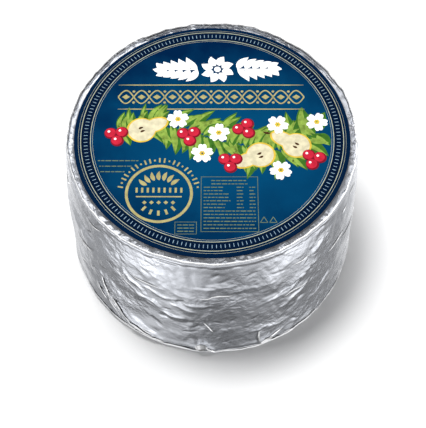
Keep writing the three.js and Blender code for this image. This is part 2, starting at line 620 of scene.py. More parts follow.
@dataclass
class WheelForm:
    """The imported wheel's own surface, welded and rounded off, for the foil to follow."""

    node: str = WHEEL_NODE
    levels: int = 2
    girth_heights: int = 24
    girth_turns: int = 48
    tree: BVHTree = field(init=False)
    height: float = field(init=False)

    def __post_init__(self) -> None:
        """Copies the node's mesh, welds it, makes it smooth and keeps it for measuring."""
        self.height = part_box(self.node)[1].z
        copy = bpy.data.objects.new("wheel_form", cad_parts[self.node].data.copy())
        bpy.context.scene.collection.objects.link(copy)
        Bench.weld(copy, 0.01 * MM)
        bpy.ops.object.modifier_add(type="SUBSURF")
        copy.modifiers[0].levels = copy.modifiers[0].render_levels = self.levels
        bpy.ops.object.modifier_apply(modifier=copy.modifiers[0].name)
        self.tree = BVHTree.FromObject(copy, bpy.context.evaluated_depsgraph_get())
        bpy.data.objects.remove(copy)

    def side(self, azimuth: Array, z: Array) -> Array:
        """Measures the side's radius.

        Args:
            azimuth: the directions from the axis.
            z: the heights.

        Returns:
            The radii there.
        """
        radii = np.empty(len(azimuth))
        for index, (turn, height) in enumerate(zip(azimuth, z)):
            outward = Vector((math.sin(turn), -math.cos(turn), 0))
            radii[index] = self.tree.ray_cast(Vector((0, 0, height)), outward)[0].xy.length
        return radii

    def even_side(self, z: Array) -> Array:
        """Returns the side's mean radius round the wheel at each height."""
        levels = np.linspace(3 * MM, 0.96 * self.height, self.girth_heights)
        turns = np.linspace(-math.pi, math.pi, self.girth_turns, endpoint=False)
        means = [self.side(turns, np.full(self.girth_turns, level)).mean() for level in levels]
        return np.interp(z, levels, means)

    def underside(self, azimuth: Array, radius: Array) -> Array:
        """Measures how high the base's underside is.

        Args:
            azimuth: the directions from the axis.
            radius: the distances from the axis.

        Returns:
            The heights there.
        """
        heights = np.empty(len(azimuth))
        for index, (turn, reach) in enumerate(zip(azimuth, radius)):
            foot = Vector((reach * math.sin(turn), -reach * math.cos(turn), -10 * MM))
            heights[index] = max(0.0, self.tree.ray_cast(foot, Vector((0, 0, 1)))[0].z)
        return heights


@dataclass(frozen=True)
class Facets:
    """A layer of flat facets with crisp creases between them, sized along the girth and upwards."""

    along: float
    up: float
    depth: float
    seed: int

    def at(self, place: Array) -> Array:
        """Returns how far the layer stands out at points on the foil, around 0."""
        return self.depth * (Grain(self.seed).facets(place / (self.along, self.along, self.up)) - 0.5)


@dataclass(frozen=True)
class Wrinkle:
    """A crease along a slightly wavy line on the side: steep on one flank and gentle on the other.

    The azimuth and the tilt are in degrees and the lengths in millimetres. The gentle flank lies below the
    line if it is positive, and above it if it is negative.
    """

    azimuth: float
    height: float
    half_length: float
    tilt: float
    rise: float
    steep: float = 0.7
    gentle: float = 5.0
    wave: float = 0.8
    sharp: bool = False
    edge: float = 1.0
    sway_runs: Point = (5.3, 2.1)
    trace_step: float = 1.2
    # Painted shade beside the wrinkle: along a pressed nick, or along the foot of a raised wrinkle's steep
    # flank.
    nick_shade: float = 0.6
    nick_width: float = 0.6
    painted_shade_offset: float = 1.1
    painted_shade_width: float = 0.75
    full_shade_rise: float = 0.45

    def _sway(self, run: Array) -> Array:
        """Returns how far the line sways from straight, along its run."""
        long_run, short_run = self.sway_runs
        short = 0.4 * np.sin(run / short_run + self.height)
        return self.wave * (np.sin(run / long_run + self.azimuth) + short)

    def line(self, start: float, end: float) -> tuple[Array, Array]:
        """Traces the wrinkle's crest.

        Args:
            start: the share of its half length at which the trace starts, from -1.
            end: the share at which it ends, up to 1.

        Returns:
            The azimuths and the heights along it.
        """
        steps = 4 + int(self.half_length * (end - start) / self.trace_step)
        run = np.linspace(start, end, steps) * self.half_length
        tilt = math.radians(self.tilt)
        across = run * math.cos(tilt) - self._sway(run) * math.sin(tilt)
        up = run * math.sin(tilt) + self._sway(run) * math.cos(tilt)
        return math.radians(self.azimuth) + across * MM / SIDE_RADIUS, (self.height + up) * MM

    def _beside(self, azimuth: Array, z: Array) -> tuple[Array, Array]:
        """Returns how strong the wrinkle is at points and how far off it they are, in millimetres."""
        across = angle_between(azimuth, math.radians(self.azimuth)) * SIDE_RADIUS / MM
        up = z / MM - self.height
        tilt = math.radians(self.tilt)
        run = across * math.cos(tilt) + up * math.sin(tilt)
        off = up * math.cos(tilt) - across * math.sin(tilt) - self._sway(run)
        taper = np.clip(1 - (run / self.half_length) ** 2, 0, 1) ** 0.8
        return taper, off * math.copysign(1, self.gentle)

    def at(self, azimuth: Array, z: Array) -> Array:
        """Reads the wrinkle's relief.

        Args:
            azimuth: the points' directions from the axis.
            z: their heights.

        Returns:
            How far the wrinkle stands out there.
        """
        taper, off = self._beside(azimuth, z)
        reach = np.where(off > 0, self.steep, abs(self.gentle))
        return self.rise * MM * taper * np.exp(-np.abs(off) / reach)

    def painted_shade_at(self, azimuth: Array, z: Array) -> Array:
        """Reads the painted shade along a pressed crease, or along the foot of a raised wrinkle's steep
        flank.

        Args:
            azimuth: the points' directions from the axis.
            z: their heights.

        Returns:
            How strong the painted shade is at each point, from 0 to 1.
        """
        taper, off = self._beside(azimuth, z)
        if self.rise < 0:
            return self.nick_shade * taper * bump(off, self.nick_width)
        shade = min(1.0, self.rise / self.full_shade_rise) / self.edge
        return shade * taper * bump(off - self.painted_shade_offset, self.painted_shade_width)


@dataclass(frozen=True)
class SideWrinkles:
    """The wrinkles that lie all round the side, drawn by chance in degrees and millimetres."""

    count: int = 95
    seed: int = 77
    heights: Point = (10, 102)
    lengths: Point = (5, 14)
    tilt_spread: float = 16
    rises: Point = (0.2, 0.6)
    steeps: Point = (0.7, 1.2)
    gentles: Point = (2.4, 5.0)
    waves: Point = (0.6, 1.7)
    sharp_every: int = 3
    calm_spot: Spot = (-12, 20, 8, 44)

    def drawn(self, hang: Callable[[float], float]) -> list[Wrinkle]:
        """Draws the wrinkles, and leaves out those that fall in the calm spot.

        Args:
            hang: gives the slope, in degrees, at which the foil hangs at an azimuth in degrees.

        Returns:
            The wrinkles.
        """
        draw = random.Random(self.seed)
        left, right, low, high = self.calm_spot
        wrinkles = []
        for index in range(self.count):
            length = draw.uniform(*self.lengths)
            azimuth = draw.uniform(-180, 180)
            height = draw.uniform(*self.heights)
            if left < azimuth < right and low < height < high:
                continue
            wrinkles.append(Wrinkle(
                azimuth=azimuth,
                height=height,
                half_length=length,
                tilt=hang(azimuth) + draw.gauss(0, self.tilt_spread),
                rise=draw.uniform(*self.rises) * (0.6 + length / 40),
                steep=draw.uniform(*self.steeps),
                gentle=draw.choice((1, 1, -1)) * draw.uniform(*self.gentles),
                wave=draw.uniform(*self.waves),
                sharp=index % self.sharp_every == 0,
            ))
        return wrinkles


@dataclass(frozen=True)
class Nicks:
    """The short narrow creases pressed in all round, drawn by chance in degrees and millimetres."""

    count: int = 110
    seed: int = 78
    heights: Point = (12, 104)
    lengths: Point = (2.5, 6)
    tilts: Point = (5, 50)
    depths: Point = (0.3, 0.6)
    steep: float = 0.7
    gentles: Point = (0.9, 1.6)
    waves: Point = (0.1, 0.5)

    def drawn(self) -> list[Wrinkle]:
        """Draws the nicks.

        Returns:
            The nicks, as wrinkles of negative rise.
        """
        draw = random.Random(self.seed)
        return [
            Wrinkle(
                azimuth=draw.uniform(-180, 180),
                height=draw.uniform(*self.heights),
                half_length=draw.uniform(*self.lengths),
                tilt=draw.choice((-1, 1)) * draw.uniform(*self.tilts),
                rise=-draw.uniform(*self.depths),
                steep=self.steep,
                gentle=draw.uniform(*self.gentles),
                wave=draw.uniform(*self.waves),
            )
            for _ in range(self.count)
        ]


@dataclass(frozen=True)
class Hem:
    """The folded edges along the bottom, one over another, drawn by chance in degrees and millimetres."""

    count: int = 26
    seed: int = 402
    heights: Point = (1.0, 5.6)
    lengths: Point = (14, 34)
    tilt_spread: float = 3
    rises: Point = (0.5, 1.0)
    steep: float = 0.55
    gentles: Point = (2.0, 3.2)
    waves: Point = (0.3, 0.7)

    def drawn(self) -> list[Wrinkle]:
        """Draws the folded edges.

        Returns:
            The edges, as sharp wrinkles.
        """
        draw = random.Random(self.seed)
        return [
            Wrinkle(
                azimuth=360 * (index + draw.random()) / self.count,
                height=draw.uniform(*self.heights),
                half_length=draw.uniform(*self.lengths),
                tilt=draw.gauss(0, self.tilt_spread),
                rise=draw.uniform(*self.rises),
                steep=self.steep,
                gentle=draw.uniform(*self.gentles),
                wave=draw.uniform(*self.waves),
                sharp=True,
            )
            for index in range(self.count)
        ]


@dataclass(frozen=True)
class RimShade:
    """Painted shade at the rim: patchy inside the ridge, stronger at the front, and along the label's edge.
    """

    reach: float = 2 * MM
    waves: float = 44
    seed: int = 95
    patch_range: Point = (-0.25, 0.25)
    ridge_offset: float = 0.95 * MM
    ridge_width: float = 0.4 * MM
    ridge_shades: Point = (0.25, 0.9)
    back_share: float = 0.4
    label_offset: float = 0.1 * MM
    label_width: float = 0.7 * MM
    label_shades: Point = (0.9, 0.4)

    def at(self, azimuth: Array, radius: Array, crest: float, label_radius: float) -> Array:
        """Returns the painted shade at points, from 0 to 1, beside a crest and a label of these radii."""
        patchy = smoothstep(*self.patch_range, round_noise(azimuth, self.waves, self.seed))
        nearer = 0.5 + 0.5 * np.cos(azimuth)
        # Painted shade just inside the ridge, patchy, and weaker towards the back.
        inside = bump(radius - (crest - self.ridge_offset), self.ridge_width)
        inside *= mix(*self.ridge_shades, patchy) * mix(self.back_share, 1.0, nearer)
        # Painted shadow along the label's edge.
        under = bump(radius - (label_radius + self.label_offset), self.label_width)
        return np.maximum(inside, under * mix(*self.label_shades, patchy))


@dataclass(frozen=True)
class Underside:
    """The pleats and the crumpling under the base, which stay above the plane that it stands on."""

    pleat_start: float = 35 * MM
    pleat_height: float = 0.5 * MM
    pleat_waves: float = 170
    pleat_seed: int = 41
    pleat_length: float = 60 * MM
    crumple_start: Point = (30 * MM, 50 * MM)
    crumple_height: float = 0.18 * MM
    crumple_size: float = 6 * MM
    crumple_seed: int = 43

    def at(self, azimuth: Array, radius: Array, z: Array, inner: float) -> Array:
        """Returns how far the foil stands above its plain form, outside an inner radius."""
        reach = smoothstep(self.pleat_start, inner, radius)
        waves = round_noise(azimuth, self.pleat_waves, self.pleat_seed, radius / self.pleat_length)
        pleats = self.pleat_height * reach * np.abs(waves)
        place = np.stack([radius * np.sin(azimuth), radius * np.cos(azimuth), z], axis=1)
        facets = Grain(self.crumple_seed).facets(place / self.crumple_size)
        crumple = self.crumple_height * smoothstep(*self.crumple_start, radius) * facets
        return pleats + crumple * (z < 1e-6)


@dataclass(frozen=True)
class RidgeForm:
    """How the pinched ridge and the rim inside it wander, pinch and crinkle."""

    wander_reach: float = 0.5 * MM
    wander_waves: tuple[tuple[float, float, float], ...] = ((0.5, 7, 0.4), (0.35, 13, 2.1), (0.3, 29, 0.9))
    kink_reach: float = 0.16 * MM
    kink_waves: Point = (17, 41)
    jitter_reach: float = 0.06 * MM
    jitter_waves: float = 67
    climb: float = 0.4
    near_width: float = 2.2 * MM
    bead_width: float = 0.5 * MM
    bead_height: float = 0.2 * MM
    bead_waves: float = 60
    bead_seed: int = 83
    pinch_waves: float = 80
    pinch_seed: int = 81
    pinch_length: float = 9 * MM
    pinch_reach: float = 0.1 * MM
    pinch_height: float = 0.22 * MM
    inside_width: float = 0.7 * MM
    free_width: Point = (-0.5 * MM, 0.9 * MM)
    sink: float = 0.2 * MM
    crumple: Facets = Facets(along=7 * MM, up=7 * MM, depth=0.75 * MM, seed=31)
    shoulder_facets: Facets = Facets(along=11 * MM, up=5 * MM, depth=0.25 * MM, seed=91)

    def moved(self, azimuth: Array, radius: Array, z: Array, crest: float, label_radius: float) -> Array:
        """Returns how far points near the ridge move outwards and upwards, one row each."""
        wander = self._wander(azimuth)
        near = bump(radius - crest, self.near_width)
        pinch = round_noise(azimuth, self.pinch_waves, self.pinch_seed, radius / self.pinch_length)
        bead = round_noise(azimuth, self.bead_waves, self.bead_seed)
        bead *= bump(radius - crest, self.bead_width)
        inside = smoothstep(crest, crest - self.inside_width, radius)
        low, high = self.free_width
        free = smoothstep(label_radius + low, label_radius + high, radius)
        place = around(azimuth, radius, z)
        rougher = 0.5 + 0.5 * smoothstep(-0.6, 0.4, np.cos(azimuth))
        crinkle = (self.pinch_height * np.abs(pinch) + self.crumple.at(place)) * rougher - self.sink
        soft = self.shoulder_facets.at(place) * (1 - inside) * (1 - near)
        outwards = (wander + self.pinch_reach * pinch) * near + soft
        upwards = self.climb * wander * near + self.bead_height * bead + crinkle * inside * free
        return np.stack([outwards, upwards], axis=1)

    def _wander(self, azimuth: Array) -> Array:
        """Returns how far the ridge wanders from a round line, with kinks and a fine jitter."""
        slow = sum(share * np.sin(waves * azimuth + start) for share, waves, start in self.wander_waves)
        kinks = np.sin(self.kink_waves[0] * azimuth + 2) * np.sin(self.kink_waves[1] * azimuth)
        jitter = np.sin(self.jitter_waves * azimuth + 1)
        return self.wander_reach * slow + self.kink_reach * kinks + self.jitter_reach * jitter


@dataclass
class FoilWrap:
    """The foil: one closed skin from the pleats under the base to the panel below the label.

    Points of the rim and of the panel's edge are (offset, drop) in millimetres: outwards from the ridge's
    crest or from the label's edge, and down from the wheel's top. Spots are (left, right, low, high), in
    degrees and millimetres.
    """

    form: WheelForm
    finish: FoilFinish
    label_radius: float
    steps: int = 600
    corner: float = 3 * MM
    corner_rows: int = 14
    side_rows: int = 112
    side_inset: float = 0.35 * MM
    shoulder_drop: float = 5 * MM
    shoulder_out: float = 0.1 * MM
    shoulder_settle: float = 3.6 * MM
    shoulder_calm: Point = (7 * MM, 0.65)
    ridge_gap: float = 3.95 * MM
    base_rings: tuple[float, ...] = (0, 14, 30, 42, 50, 57, 63, 69, 75, 80, 85)
    panel_ring: float = 40 * MM
    rim_shape: tuple[Point, ...] = (
        (1.1, 4.4), (1.04, 3.7), (0.97, 3.0), (0.9, 2.35), (0.82, 1.8), (0.72, 1.38), (0.58, 1.05),
        (0.4, 0.75), (0.2, 0.4), (-0.02, 0.25), (-0.24, 0.42), (-0.45, 1.0), (-0.85, 1.3), (-1.4, 1.25),
        (-2.0, 1.1),
    )
    panel_edge: tuple[Point, ...] = ((1.0, 0.9), (0.3, 0.75), (-0.6, 0.5), (-2.2, 0.22), (-3.6, 0))
    ridge: RidgeForm = RidgeForm()
    rim_shade: RimShade = RimShade()
    underside: Underside = Underside()
    facets: tuple[Facets, ...] = (
        Facets(along=30 * MM, up=40 * MM, depth=0.5 * MM, seed=5),
        Facets(along=13 * MM, up=17 * MM, depth=0.42 * MM, seed=9),
        Facets(along=6 * MM, up=8 * MM, depth=0.17 * MM, seed=14),
    )
    crumple: Facets = Facets(along=5 * MM, up=6.5 * MM, depth=0.25 * MM, seed=23)
    crumple_patch: float = 26 * MM
    crumple_seed: int = 51
    crumple_range: Point = (0.1, 0.6)
    crumpled_spot: Spot = (10, 36, 30, 96)
    spot_fade: Point = (6, 8)
    dents_kept: float = 0.5
    lean: float = 1.25 * MM
    lean_start: float = 80 * MM
    sags: int = 3
    sag: float = 16 * MM
    sag_middle: float = 6.0
    flank_start: Point = (0.9, 1.25)
    flank_end: Point = (2.1, 2.5)
    flank_calm: float = 0.55
    shown_wrinkles: tuple[Wrinkle, ...] = (
        Wrinkle(-47, 38, 14, -64, 0.9, gentle=2.5, sharp=True, edge=1.3),
        Wrinkle(-50, 24, 10, -62, 0.7, gentle=2, sharp=True, edge=1.1),
        Wrinkle(-44, 25, 12, -58, 0.8, gentle=-2, sharp=True, edge=1.3),
        Wrinkle(-39, 21, 14, -48, 1.0, gentle=3, sharp=True, edge=1.6),
        Wrinkle(-42, 14, 11, -44, 0.8, gentle=-2.5, sharp=True, edge=1.3),
        Wrinkle(-34, 13, 12, -34, 0.8, gentle=-2.5, sharp=True, edge=1.2),
        Wrinkle(-30, 10, 13, -22, 0.9, gentle=3, sharp=True, edge=1.5),
        Wrinkle(-24, 5.5, 12, -10, 0.8, gentle=2.5, sharp=True, edge=1.2),
        Wrinkle(-30, 70, 12, -40, 0.9, steep=1.1, gentle=4.5, wave=1.2),
        Wrinkle(-24, 58, 11, -30, 1.0, steep=1.0, gentle=4, wave=1.4),
        Wrinkle(-15, 49, 9, -4, 0.9, steep=1.0, gentle=3.5, wave=1.2),
        Wrinkle(-14, 79, 13, -30, 0.6, steep=1.2, gentle=5),
        Wrinkle(-11, 60, 9, -22, 0.8, steep=1.0, gentle=4, wave=1.3),
        Wrinkle(-6, 66, 8, -8, 0.7, steep=1.1, gentle=4),
        Wrinkle(0, 87, 14, 2, 0.5, gentle=5),
        Wrinkle(-1.5, 39, 9, -66, 0.14, steep=0.5, gentle=0.9, sharp=True, edge=0.9),
        Wrinkle(18.5, 14, 11, 86, 0.6, steep=0.6, gentle=1.5, sharp=True, edge=1.3),
        Wrinkle(-4.0, 8.6, 8, 40, 1.2, steep=0.7, gentle=2, sharp=True, edge=4.2),
        Wrinkle(-0.6, 6.6, 7.5, -62, 1.3, steep=0.6, gentle=-2, sharp=True, edge=1.8),
        Wrinkle(30, 66, 20, 26, 0.9, gentle=6),
        Wrinkle(38, 74, 15, 20, 0.7, gentle=-5),
        Wrinkle(33, 52, 15, 33, 0.7, gentle=5),
        Wrinkle(50, 40, 18, 38, 0.6, gentle=5),
        Wrinkle(22, 7, 7, 28, 0.8, gentle=2, sharp=True, edge=2.4),
        Wrinkle(26, 11, 9, 24, 0.7, gentle=3, sharp=True, edge=1.4),
    )
    side_wrinkles: SideWrinkles = SideWrinkles()
    nicks: Nicks = Nicks()
    hem: Hem = Hem()
    folds: list[Wrinkle] = field(init=False)

    def __post_init__(self) -> None:
        """Gathers the wrinkles and the folded edges along the bottom."""
        drawn = [*self.side_wrinkles.drawn(self._hang), *self.nicks.drawn(), *self.hem.drawn()]
        self.folds = [*self.shown_wrinkles, *drawn]

    @property
    def crest(self) -> float:
        """The radius of the ridge's crest."""
        return self.label_radius + self.ridge_gap

    @property
    def shoulder(self) -> float:
        """The height at which the side ends."""
        return self.form.height - self.shoulder_drop

    @property
    def edge(self) -> float:
        """The side's plain radius where the rounding of the bottom edge ends."""
        return float(self.form.side(np.zeros(1), np.array([self.corner]))[0])

    def profile(self) -> list[Point]:
        """Returns the skin's plain profile, from the middle of the base to the middle of the top."""
        edge, top = self.edge, self.form.height
        under = [(radius * MM, 0.0) for radius in self.base_rings]
        rounding = [
            (edge - self.corner * (1 - math.sin(turn)), self.corner * (1 - math.cos(turn)))
            for turn in np.linspace(0, math.pi / 2, self.corner_rows)
        ]
        side = [(edge, z) for z in np.linspace(self.corner, self.shoulder, self.side_rows)[1:]]
        rim = [(radius, top - drop) for radius, drop in self._rim()]
        return [*under, *rounding, *side, *rim, (self.panel_ring, top), (0, top)]

    def _rim(self) -> list[Point]:
        """Returns the rim's points from the shoulder to the panel: their radii and drops below the top."""
        outer = [(self.crest + offset * MM, drop * MM) for offset, drop in self.rim_shape]
        inner = [(self.label_radius + offset * MM, drop * MM) for offset, drop in self.panel_edge]
        return [*outer, *inner]

    def build(self) -> Piece:
        """Spins the profile, presses the folds into it and dresses it.

        Returns:
            The foil piece.
        """
        piece = Bench.turned("foil_wrap", self.profile(), self.steps)
        # Keeps the painted shade of the folds, the ridge's inside and the label's edge at every vertex, for
        # the foil's material.
        Bench.note(piece, PAINTED_SHADE_ATTRIBUTE, self.painted_shades)
        Bench.reshape(piece, self.placed)
        Bench.take(piece)
        bpy.ops.object.shade_smooth()
        Bench.dress(piece, self.finish.material(), Slot.FOIL, replaces=WHEEL_NODE)
        return piece

    @staticmethod
    def _read(plain: Array) -> tuple[Array, Array, Array]:
        """Returns the azimuths, the distances from the axis and the heights of points."""
        azimuth = np.arctan2(plain[:, 0], -plain[:, 1])
        return azimuth, np.hypot(plain[:, 0], plain[:, 1]), plain[:, 2]

    def placed(self, plain: Array) -> Array:
        """Gives the vertices of the plain skin their places.

        Args:
            plain: the vertices on the spun profile.

        Returns:
            Their places on the folded skin.
        """
        azimuth, radius, height = self._read(plain)
        low = height < self.corner - 1e-6
        high = height > self.shoulder + 1e-6
        side = ~(low | high)
        moved = np.stack([radius, height], axis=1)
        moved[low] = self._low(azimuth[low], radius[low], height[low])
        moved[side, 0] = self._side(azimuth[side], height[side])
        moved[high] = self._high(azimuth[high], radius[high], height[high])
        moved[radius < MM, 0] = 0
        return around(azimuth, moved[:, 0], moved[:, 1])

    def painted_shades(self, plain: Array) -> Array:
        """Gives how much painted shade the vertices of the plain skin carry, along the folds and at the rim.

        Args:
            plain: the vertices on the spun profile.

        Returns:
            Its strength at each, from 0 to 1.
        """
        azimuth, radius, z = self._read(plain)
        # Painted shade along the sharp folds and the nicks, on the side only.
        beside = np.zeros(len(plain))
        for fold in self.folds:
            if fold.sharp or fold.rise < 0:
                beside = np.maximum(beside, fold.painted_shade_at(azimuth, z))
        beside *= (z > 0) & (z < self.shoulder)
        rim = self.rim_shade.at(azimuth, radius, self.crest, self.label_radius)
        return np.maximum(beside, rim * (z > self.form.height - self.rim_shade.reach))

    def on_side(self, azimuth: Array, z: Array) -> Array:
        """Finds points on the folded side or on its rounding at the bottom.

        Args:
            azimuth: their directions from the axis.
            z: their heights.

        Returns:
            The points.
        """
        share = np.clip(1 - z / self.corner, 0, 1)
        radius = self.edge - self.corner * (1 - np.sqrt(1 - share ** 2))
        return self.placed(around(azimuth, radius, z))

    def on_rim(self, azimuth: Array, radius: Array) -> Array:
        """Returns points on the crinkled rim or on the crest of the ridge, at these radii."""
        reach, drop = zip(*sorted(self._rim()))
        return self.placed(around(azimuth, radius, self.form.height - np.interp(radius, reach, drop)))

    def _low(self, azimuth: Array, radius: Array, z: Array) -> Array:
        """Places the pleated base and the rounding with its folded hem."""
        edge = self.edge
        inner = edge - self.corner
        lift = self.form.underside(azimuth, np.clip(radius, 2 * MM, inner - MM))
        lift += self.underside.at(azimuth, radius, z, inner)
        share = z / self.corner
        out = self._side(azimuth, np.maximum(z, 0.3 * self.corner)) - edge
        return np.stack([radius + out * np.minimum(1.0, 2 * share), z + lift * (1 - share)], axis=1)

    def _side(self, azimuth: Array, z: Array) -> Array:
        """Gives the side's radius with its creases."""
        above = np.maximum(z, self.corner)
        plain = mix(self.form.even_side(above), self.form.side(azimuth, above), self.dents_kept)
        edges = sum(fold.at(azimuth, z) for fold in self.folds)
        relief = self._facets(azimuth, around(azimuth, plain, z)) + edges
        calm_height, calm = self.shoulder_calm
        fade = 1 - calm * smoothstep(self.shoulder - calm_height, self.shoulder, z)
        turned = np.abs(angle_between(azimuth, 0))
        flank = smoothstep(*self.flank_start, turned) * (1 - smoothstep(*self.flank_end, turned))
        plain = plain - self.lean * smoothstep(self.lean_start, self.shoulder, z)
        return plain + relief * fade * (1 - self.flank_calm * flank) - self.side_inset

    def _facets(self, azimuth: Array, place: Array) -> Array:
        """Gives the relief of the facets, which hang with the foil, and of the crumpled patches."""
        sag = self.sag * np.cos(self.sags * self._from_sag(azimuth))
        hanging = place + sag[:, None] * np.array((0, 0, 1))
        spot = self._within(self.crumpled_spot, azimuth, place[:, 2])
        clouds = Grain(self.crumple_seed).swell(place / self.crumple_patch)
        patches = np.maximum(spot, smoothstep(*self.crumple_range, clouds))
        return sum(layer.at(hanging) for layer in self.facets) + self.crumple.at(place) * patches

    def _from_sag(self, azimuth: Array | float) -> Array | float:
        """Returns the angle from where the folds hang lowest, which comes a few times to the turn."""
        return azimuth - math.radians(self.sag_middle)

    def _hang(self, degrees: float) -> float:
        """Returns the slope, in degrees, at which the foil hangs at an azimuth in degrees."""
        turn = self.sags * self._from_sag(math.radians(degrees))
        return math.degrees(math.atan(self.sags * self.sag / SIDE_RADIUS * math.sin(turn)))

    def _within(self, spot: Spot, azimuth: Array, z: Array) -> Array:
        """Returns how much of each point lies in a spot."""
        left, right, low, high = spot
        aside, upwards = self.spot_fade
        turn, height = np.degrees(azimuth), z / MM
        across = smoothstep(left - aside, left + aside, turn)
        across *= 1 - smoothstep(right - aside, right + aside, turn)
        up = smoothstep(low - upwards, low + upwards, height)
        return across * up * (1 - smoothstep(high - upwards, high + upwards, height))

    def _high(self, azimuth: Array, radius: Array, z: Array) -> Array:
        """Places the shoulder, the pinched ridge and the crinkled rim between it and the label."""
        moved = self.ridge.moved(azimuth, radius, z, self.crest, self.label_radius)
        settle = smoothstep(self.shoulder + self.shoulder_settle, self.shoulder, z)
        top_of_side = self._side(azimuth, np.full(len(z), self.shoulder))
        moved[:, 0] += radius + (top_of_side - self._plain_shoulder()) * settle
        moved[:, 1] += z
        return moved

    def _plain_shoulder(self) -> float:
        """Returns the radius at which the plain profile's side meets the shoulder."""
        return self.crest + self.rim_shape[0][0] * MM + self.shoulder_out


@dataclass
class Creases:
    """The sharp creases that catch the light: the ridge's edge, the hem, sharp wrinkles and rim crinkles.

    A size is (width, height). Outward says how much of a height goes away from the axis and upwards.
    """

    wrap: FoilWrap
    finish: FoilFinish
    seed: int = 19
    round_points: int = 721
    ridge_size: Point = (0.9 * MM, 0.38 * MM)
    ridge_outward: Point = (0.35, 0.94)
    hem_height: float = 1.9 * MM
    hem_wander: Point = (0.5 * MM, 0.3 * MM)
    hem_size: Point = (1.3 * MM, 0.5 * MM)
    hem_shares: Point = (0.15, 1.3)
    hem_outward: Point = (1.0, 0.15)
    wrinkle_starts: Point = (-0.9, -0.5)
    wrinkle_ends: Point = (0.5, 0.9)
    wrinkle_widths: Point = (0.9, 1.25)
    wrinkle_heights: Point = (0.3, 0.42)
    wrinkle_upward: float = 0.2
    fewest_points: int = 4
    rim_crinkles: int = 70
    branches: int = 40
    crinkle_points: int = 9
    crinkle_bend: float = 0.3 * MM
    crinkle_widths: Point = (0.5, 1.0)
    crinkle_heights: Point = (0.2, 0.35)
    sunk: float = 0.05 * MM
    strips: list[Piece] = field(default_factory=list)

    def build(self) -> Piece:
        """Lays every crease on the foil and joins them to one piece.

        Returns:
            The piece.
        """
        self._ridge_edge()
        self._hem_edge()
        self._wrinkle_edges()
        self._crinkles()
        piece = Bench.joined("foil_creases", self.strips)
        Bench.weld(piece, 0.004 * MM)
        bpy.ops.object.shade_smooth_by_angle(angle=math.radians(30))
        Bench.dress(piece, self.finish.material(), Slot.FOIL)
        return piece

    def _ridge_edge(self) -> None:
        """Lays the edge of the pinched ridge, all round."""
        azimuth = np.linspace(-math.pi, math.pi, self.round_points)
        line = self.wrap.on_rim(azimuth, np.full(self.round_points, self.wrap.crest))
        uneven = 1 + 0.25 * np.sin(23 * azimuth) * np.sin(31 * azimuth + 1) + 0.15 * np.sin(67 * azimuth)
        width, height = self.ridge_size
        self._strip(line, self.ridge_outward, width * uneven, height * uneven)

    def _hem_edge(self) -> None:
        """Lays the folded edge that shows along the very bottom, all round, thinning out here and there."""
        azimuth = np.linspace(-math.pi, math.pi, self.round_points)
        slow, quick = self.hem_wander
        z = self.hem_height + slow * np.sin(5 * azimuth + 1) + quick * np.sin(13 * azimuth)
        waves = np.sin(7 * azimuth + 0.5) * np.sin(11 * azimuth + 2)
        uneven = np.clip(0.85 + 0.6 * waves, *self.hem_shares)
        width, height = self.hem_size
        self._strip(self.wrap.on_side(azimuth, z), self.hem_outward, width * uneven, height * uneven)

    def _wrinkle_edges(self) -> None:
        """Lays an edge along each sharp wrinkle."""
        draw = random.Random(self.seed)
        for fold in self.wrap.folds:
            if not fold.sharp:
                continue
            start = draw.uniform(*self.wrinkle_starts)
            azimuth, z = fold.line(start, draw.uniform(*self.wrinkle_ends))
            inside = (z > 0.9 * MM) & (z < self.wrap.shoulder)
            if np.count_nonzero(inside) < self.fewest_points:
                continue
            line = self.wrap.on_side(azimuth[inside], z[inside])
            outward = (1.0, self.wrinkle_upward * (fold.edge - 1))
            width = draw.uniform(*self.wrinkle_widths) * fold.edge * MM
            height = draw.uniform(*self.wrinkle_heights) * fold.edge * MM
            self._strip(line, outward, width, height)

    def _crinkles(self) -> None:
        """Lays short crinkles between the label and the ridge, and branches that leave the ridge."""
        draw = random.Random(self.seed + 1)
        crest, label_radius = self.wrap.crest, self.wrap.label_radius
        for index in range(self.rim_crinkles + self.branches):
            turn = draw.uniform(-math.pi, math.pi)
            if index < self.branches:
                start, end = crest - 0.1 * MM, crest - draw.uniform(1.2, 3.2) * MM
                sweep = draw.choice((-1, 1)) * draw.uniform(2, 6) * MM / crest
            else:
                start = label_radius + draw.uniform(0.5, 3.0) * MM
                end = min(crest, max(start + draw.uniform(-2, 2) * MM, label_radius + 0.4 * MM))
                sweep = draw.choice((-1, 1)) * draw.uniform(0.8, 3.5) * MM / crest
            share = np.linspace(0, 1, self.crinkle_points)
            bent = math.copysign(self.crinkle_bend, sweep) * np.sin(math.pi * share)
            line = self.wrap.on_rim(turn + sweep * share, start + (end - start) * share + bent)
            width = draw.uniform(*self.crinkle_widths) * MM
            self._strip(line, (0.0, 1.0), width, draw.uniform(*self.crinkle_heights) * MM)

    def _strip(self, line: Array, outward: Point, width: Array | float, height: Array | float) -> None:
        """Adds a strip with a raised middle along a line, its ends running out to points unless they meet.

        Args:
            line: the points on the foil that it follows.
            outward: how much of its height goes away from the axis, and how much upwards.
            width: its width.
            height: how far its middle stands out.
        """
        count = len(line)
        radial = line * (1, 1, 0) / np.linalg.norm(line[:, :2], axis=1, keepdims=True)
        normal = outward[0] * radial + outward[1] * np.array((0, 0, 1))
        across = np.cross(np.gradient(line, axis=0), normal)
        across /= np.linalg.norm(across, axis=1, keepdims=True)
        closed = np.linalg.norm(line[0] - line[-1]) < MM
        taper = np.ones(count) if closed else np.sin(math.pi * np.linspace(0, 1, count)) ** 0.6
        half = (0.5 * width * taper)[:, None] * across
        sink = (self.sunk * taper)[:, None] * normal
        rise = (height * taper)[:, None] * normal
        rows = [line + half - sink, line + rise, line - half - sink, line - 2.5 * sink, line + half - sink]
        Bench.clear()
        bpy.ops.mesh.primitive_grid_add(x_subdivisions=count - 1, y_subdivisions=len(rows) - 1, size=1)
        strip = bpy.context.object
        Bench.reshape(strip, lambda place: np.concatenate(rows))
        self.strips.append(strip)


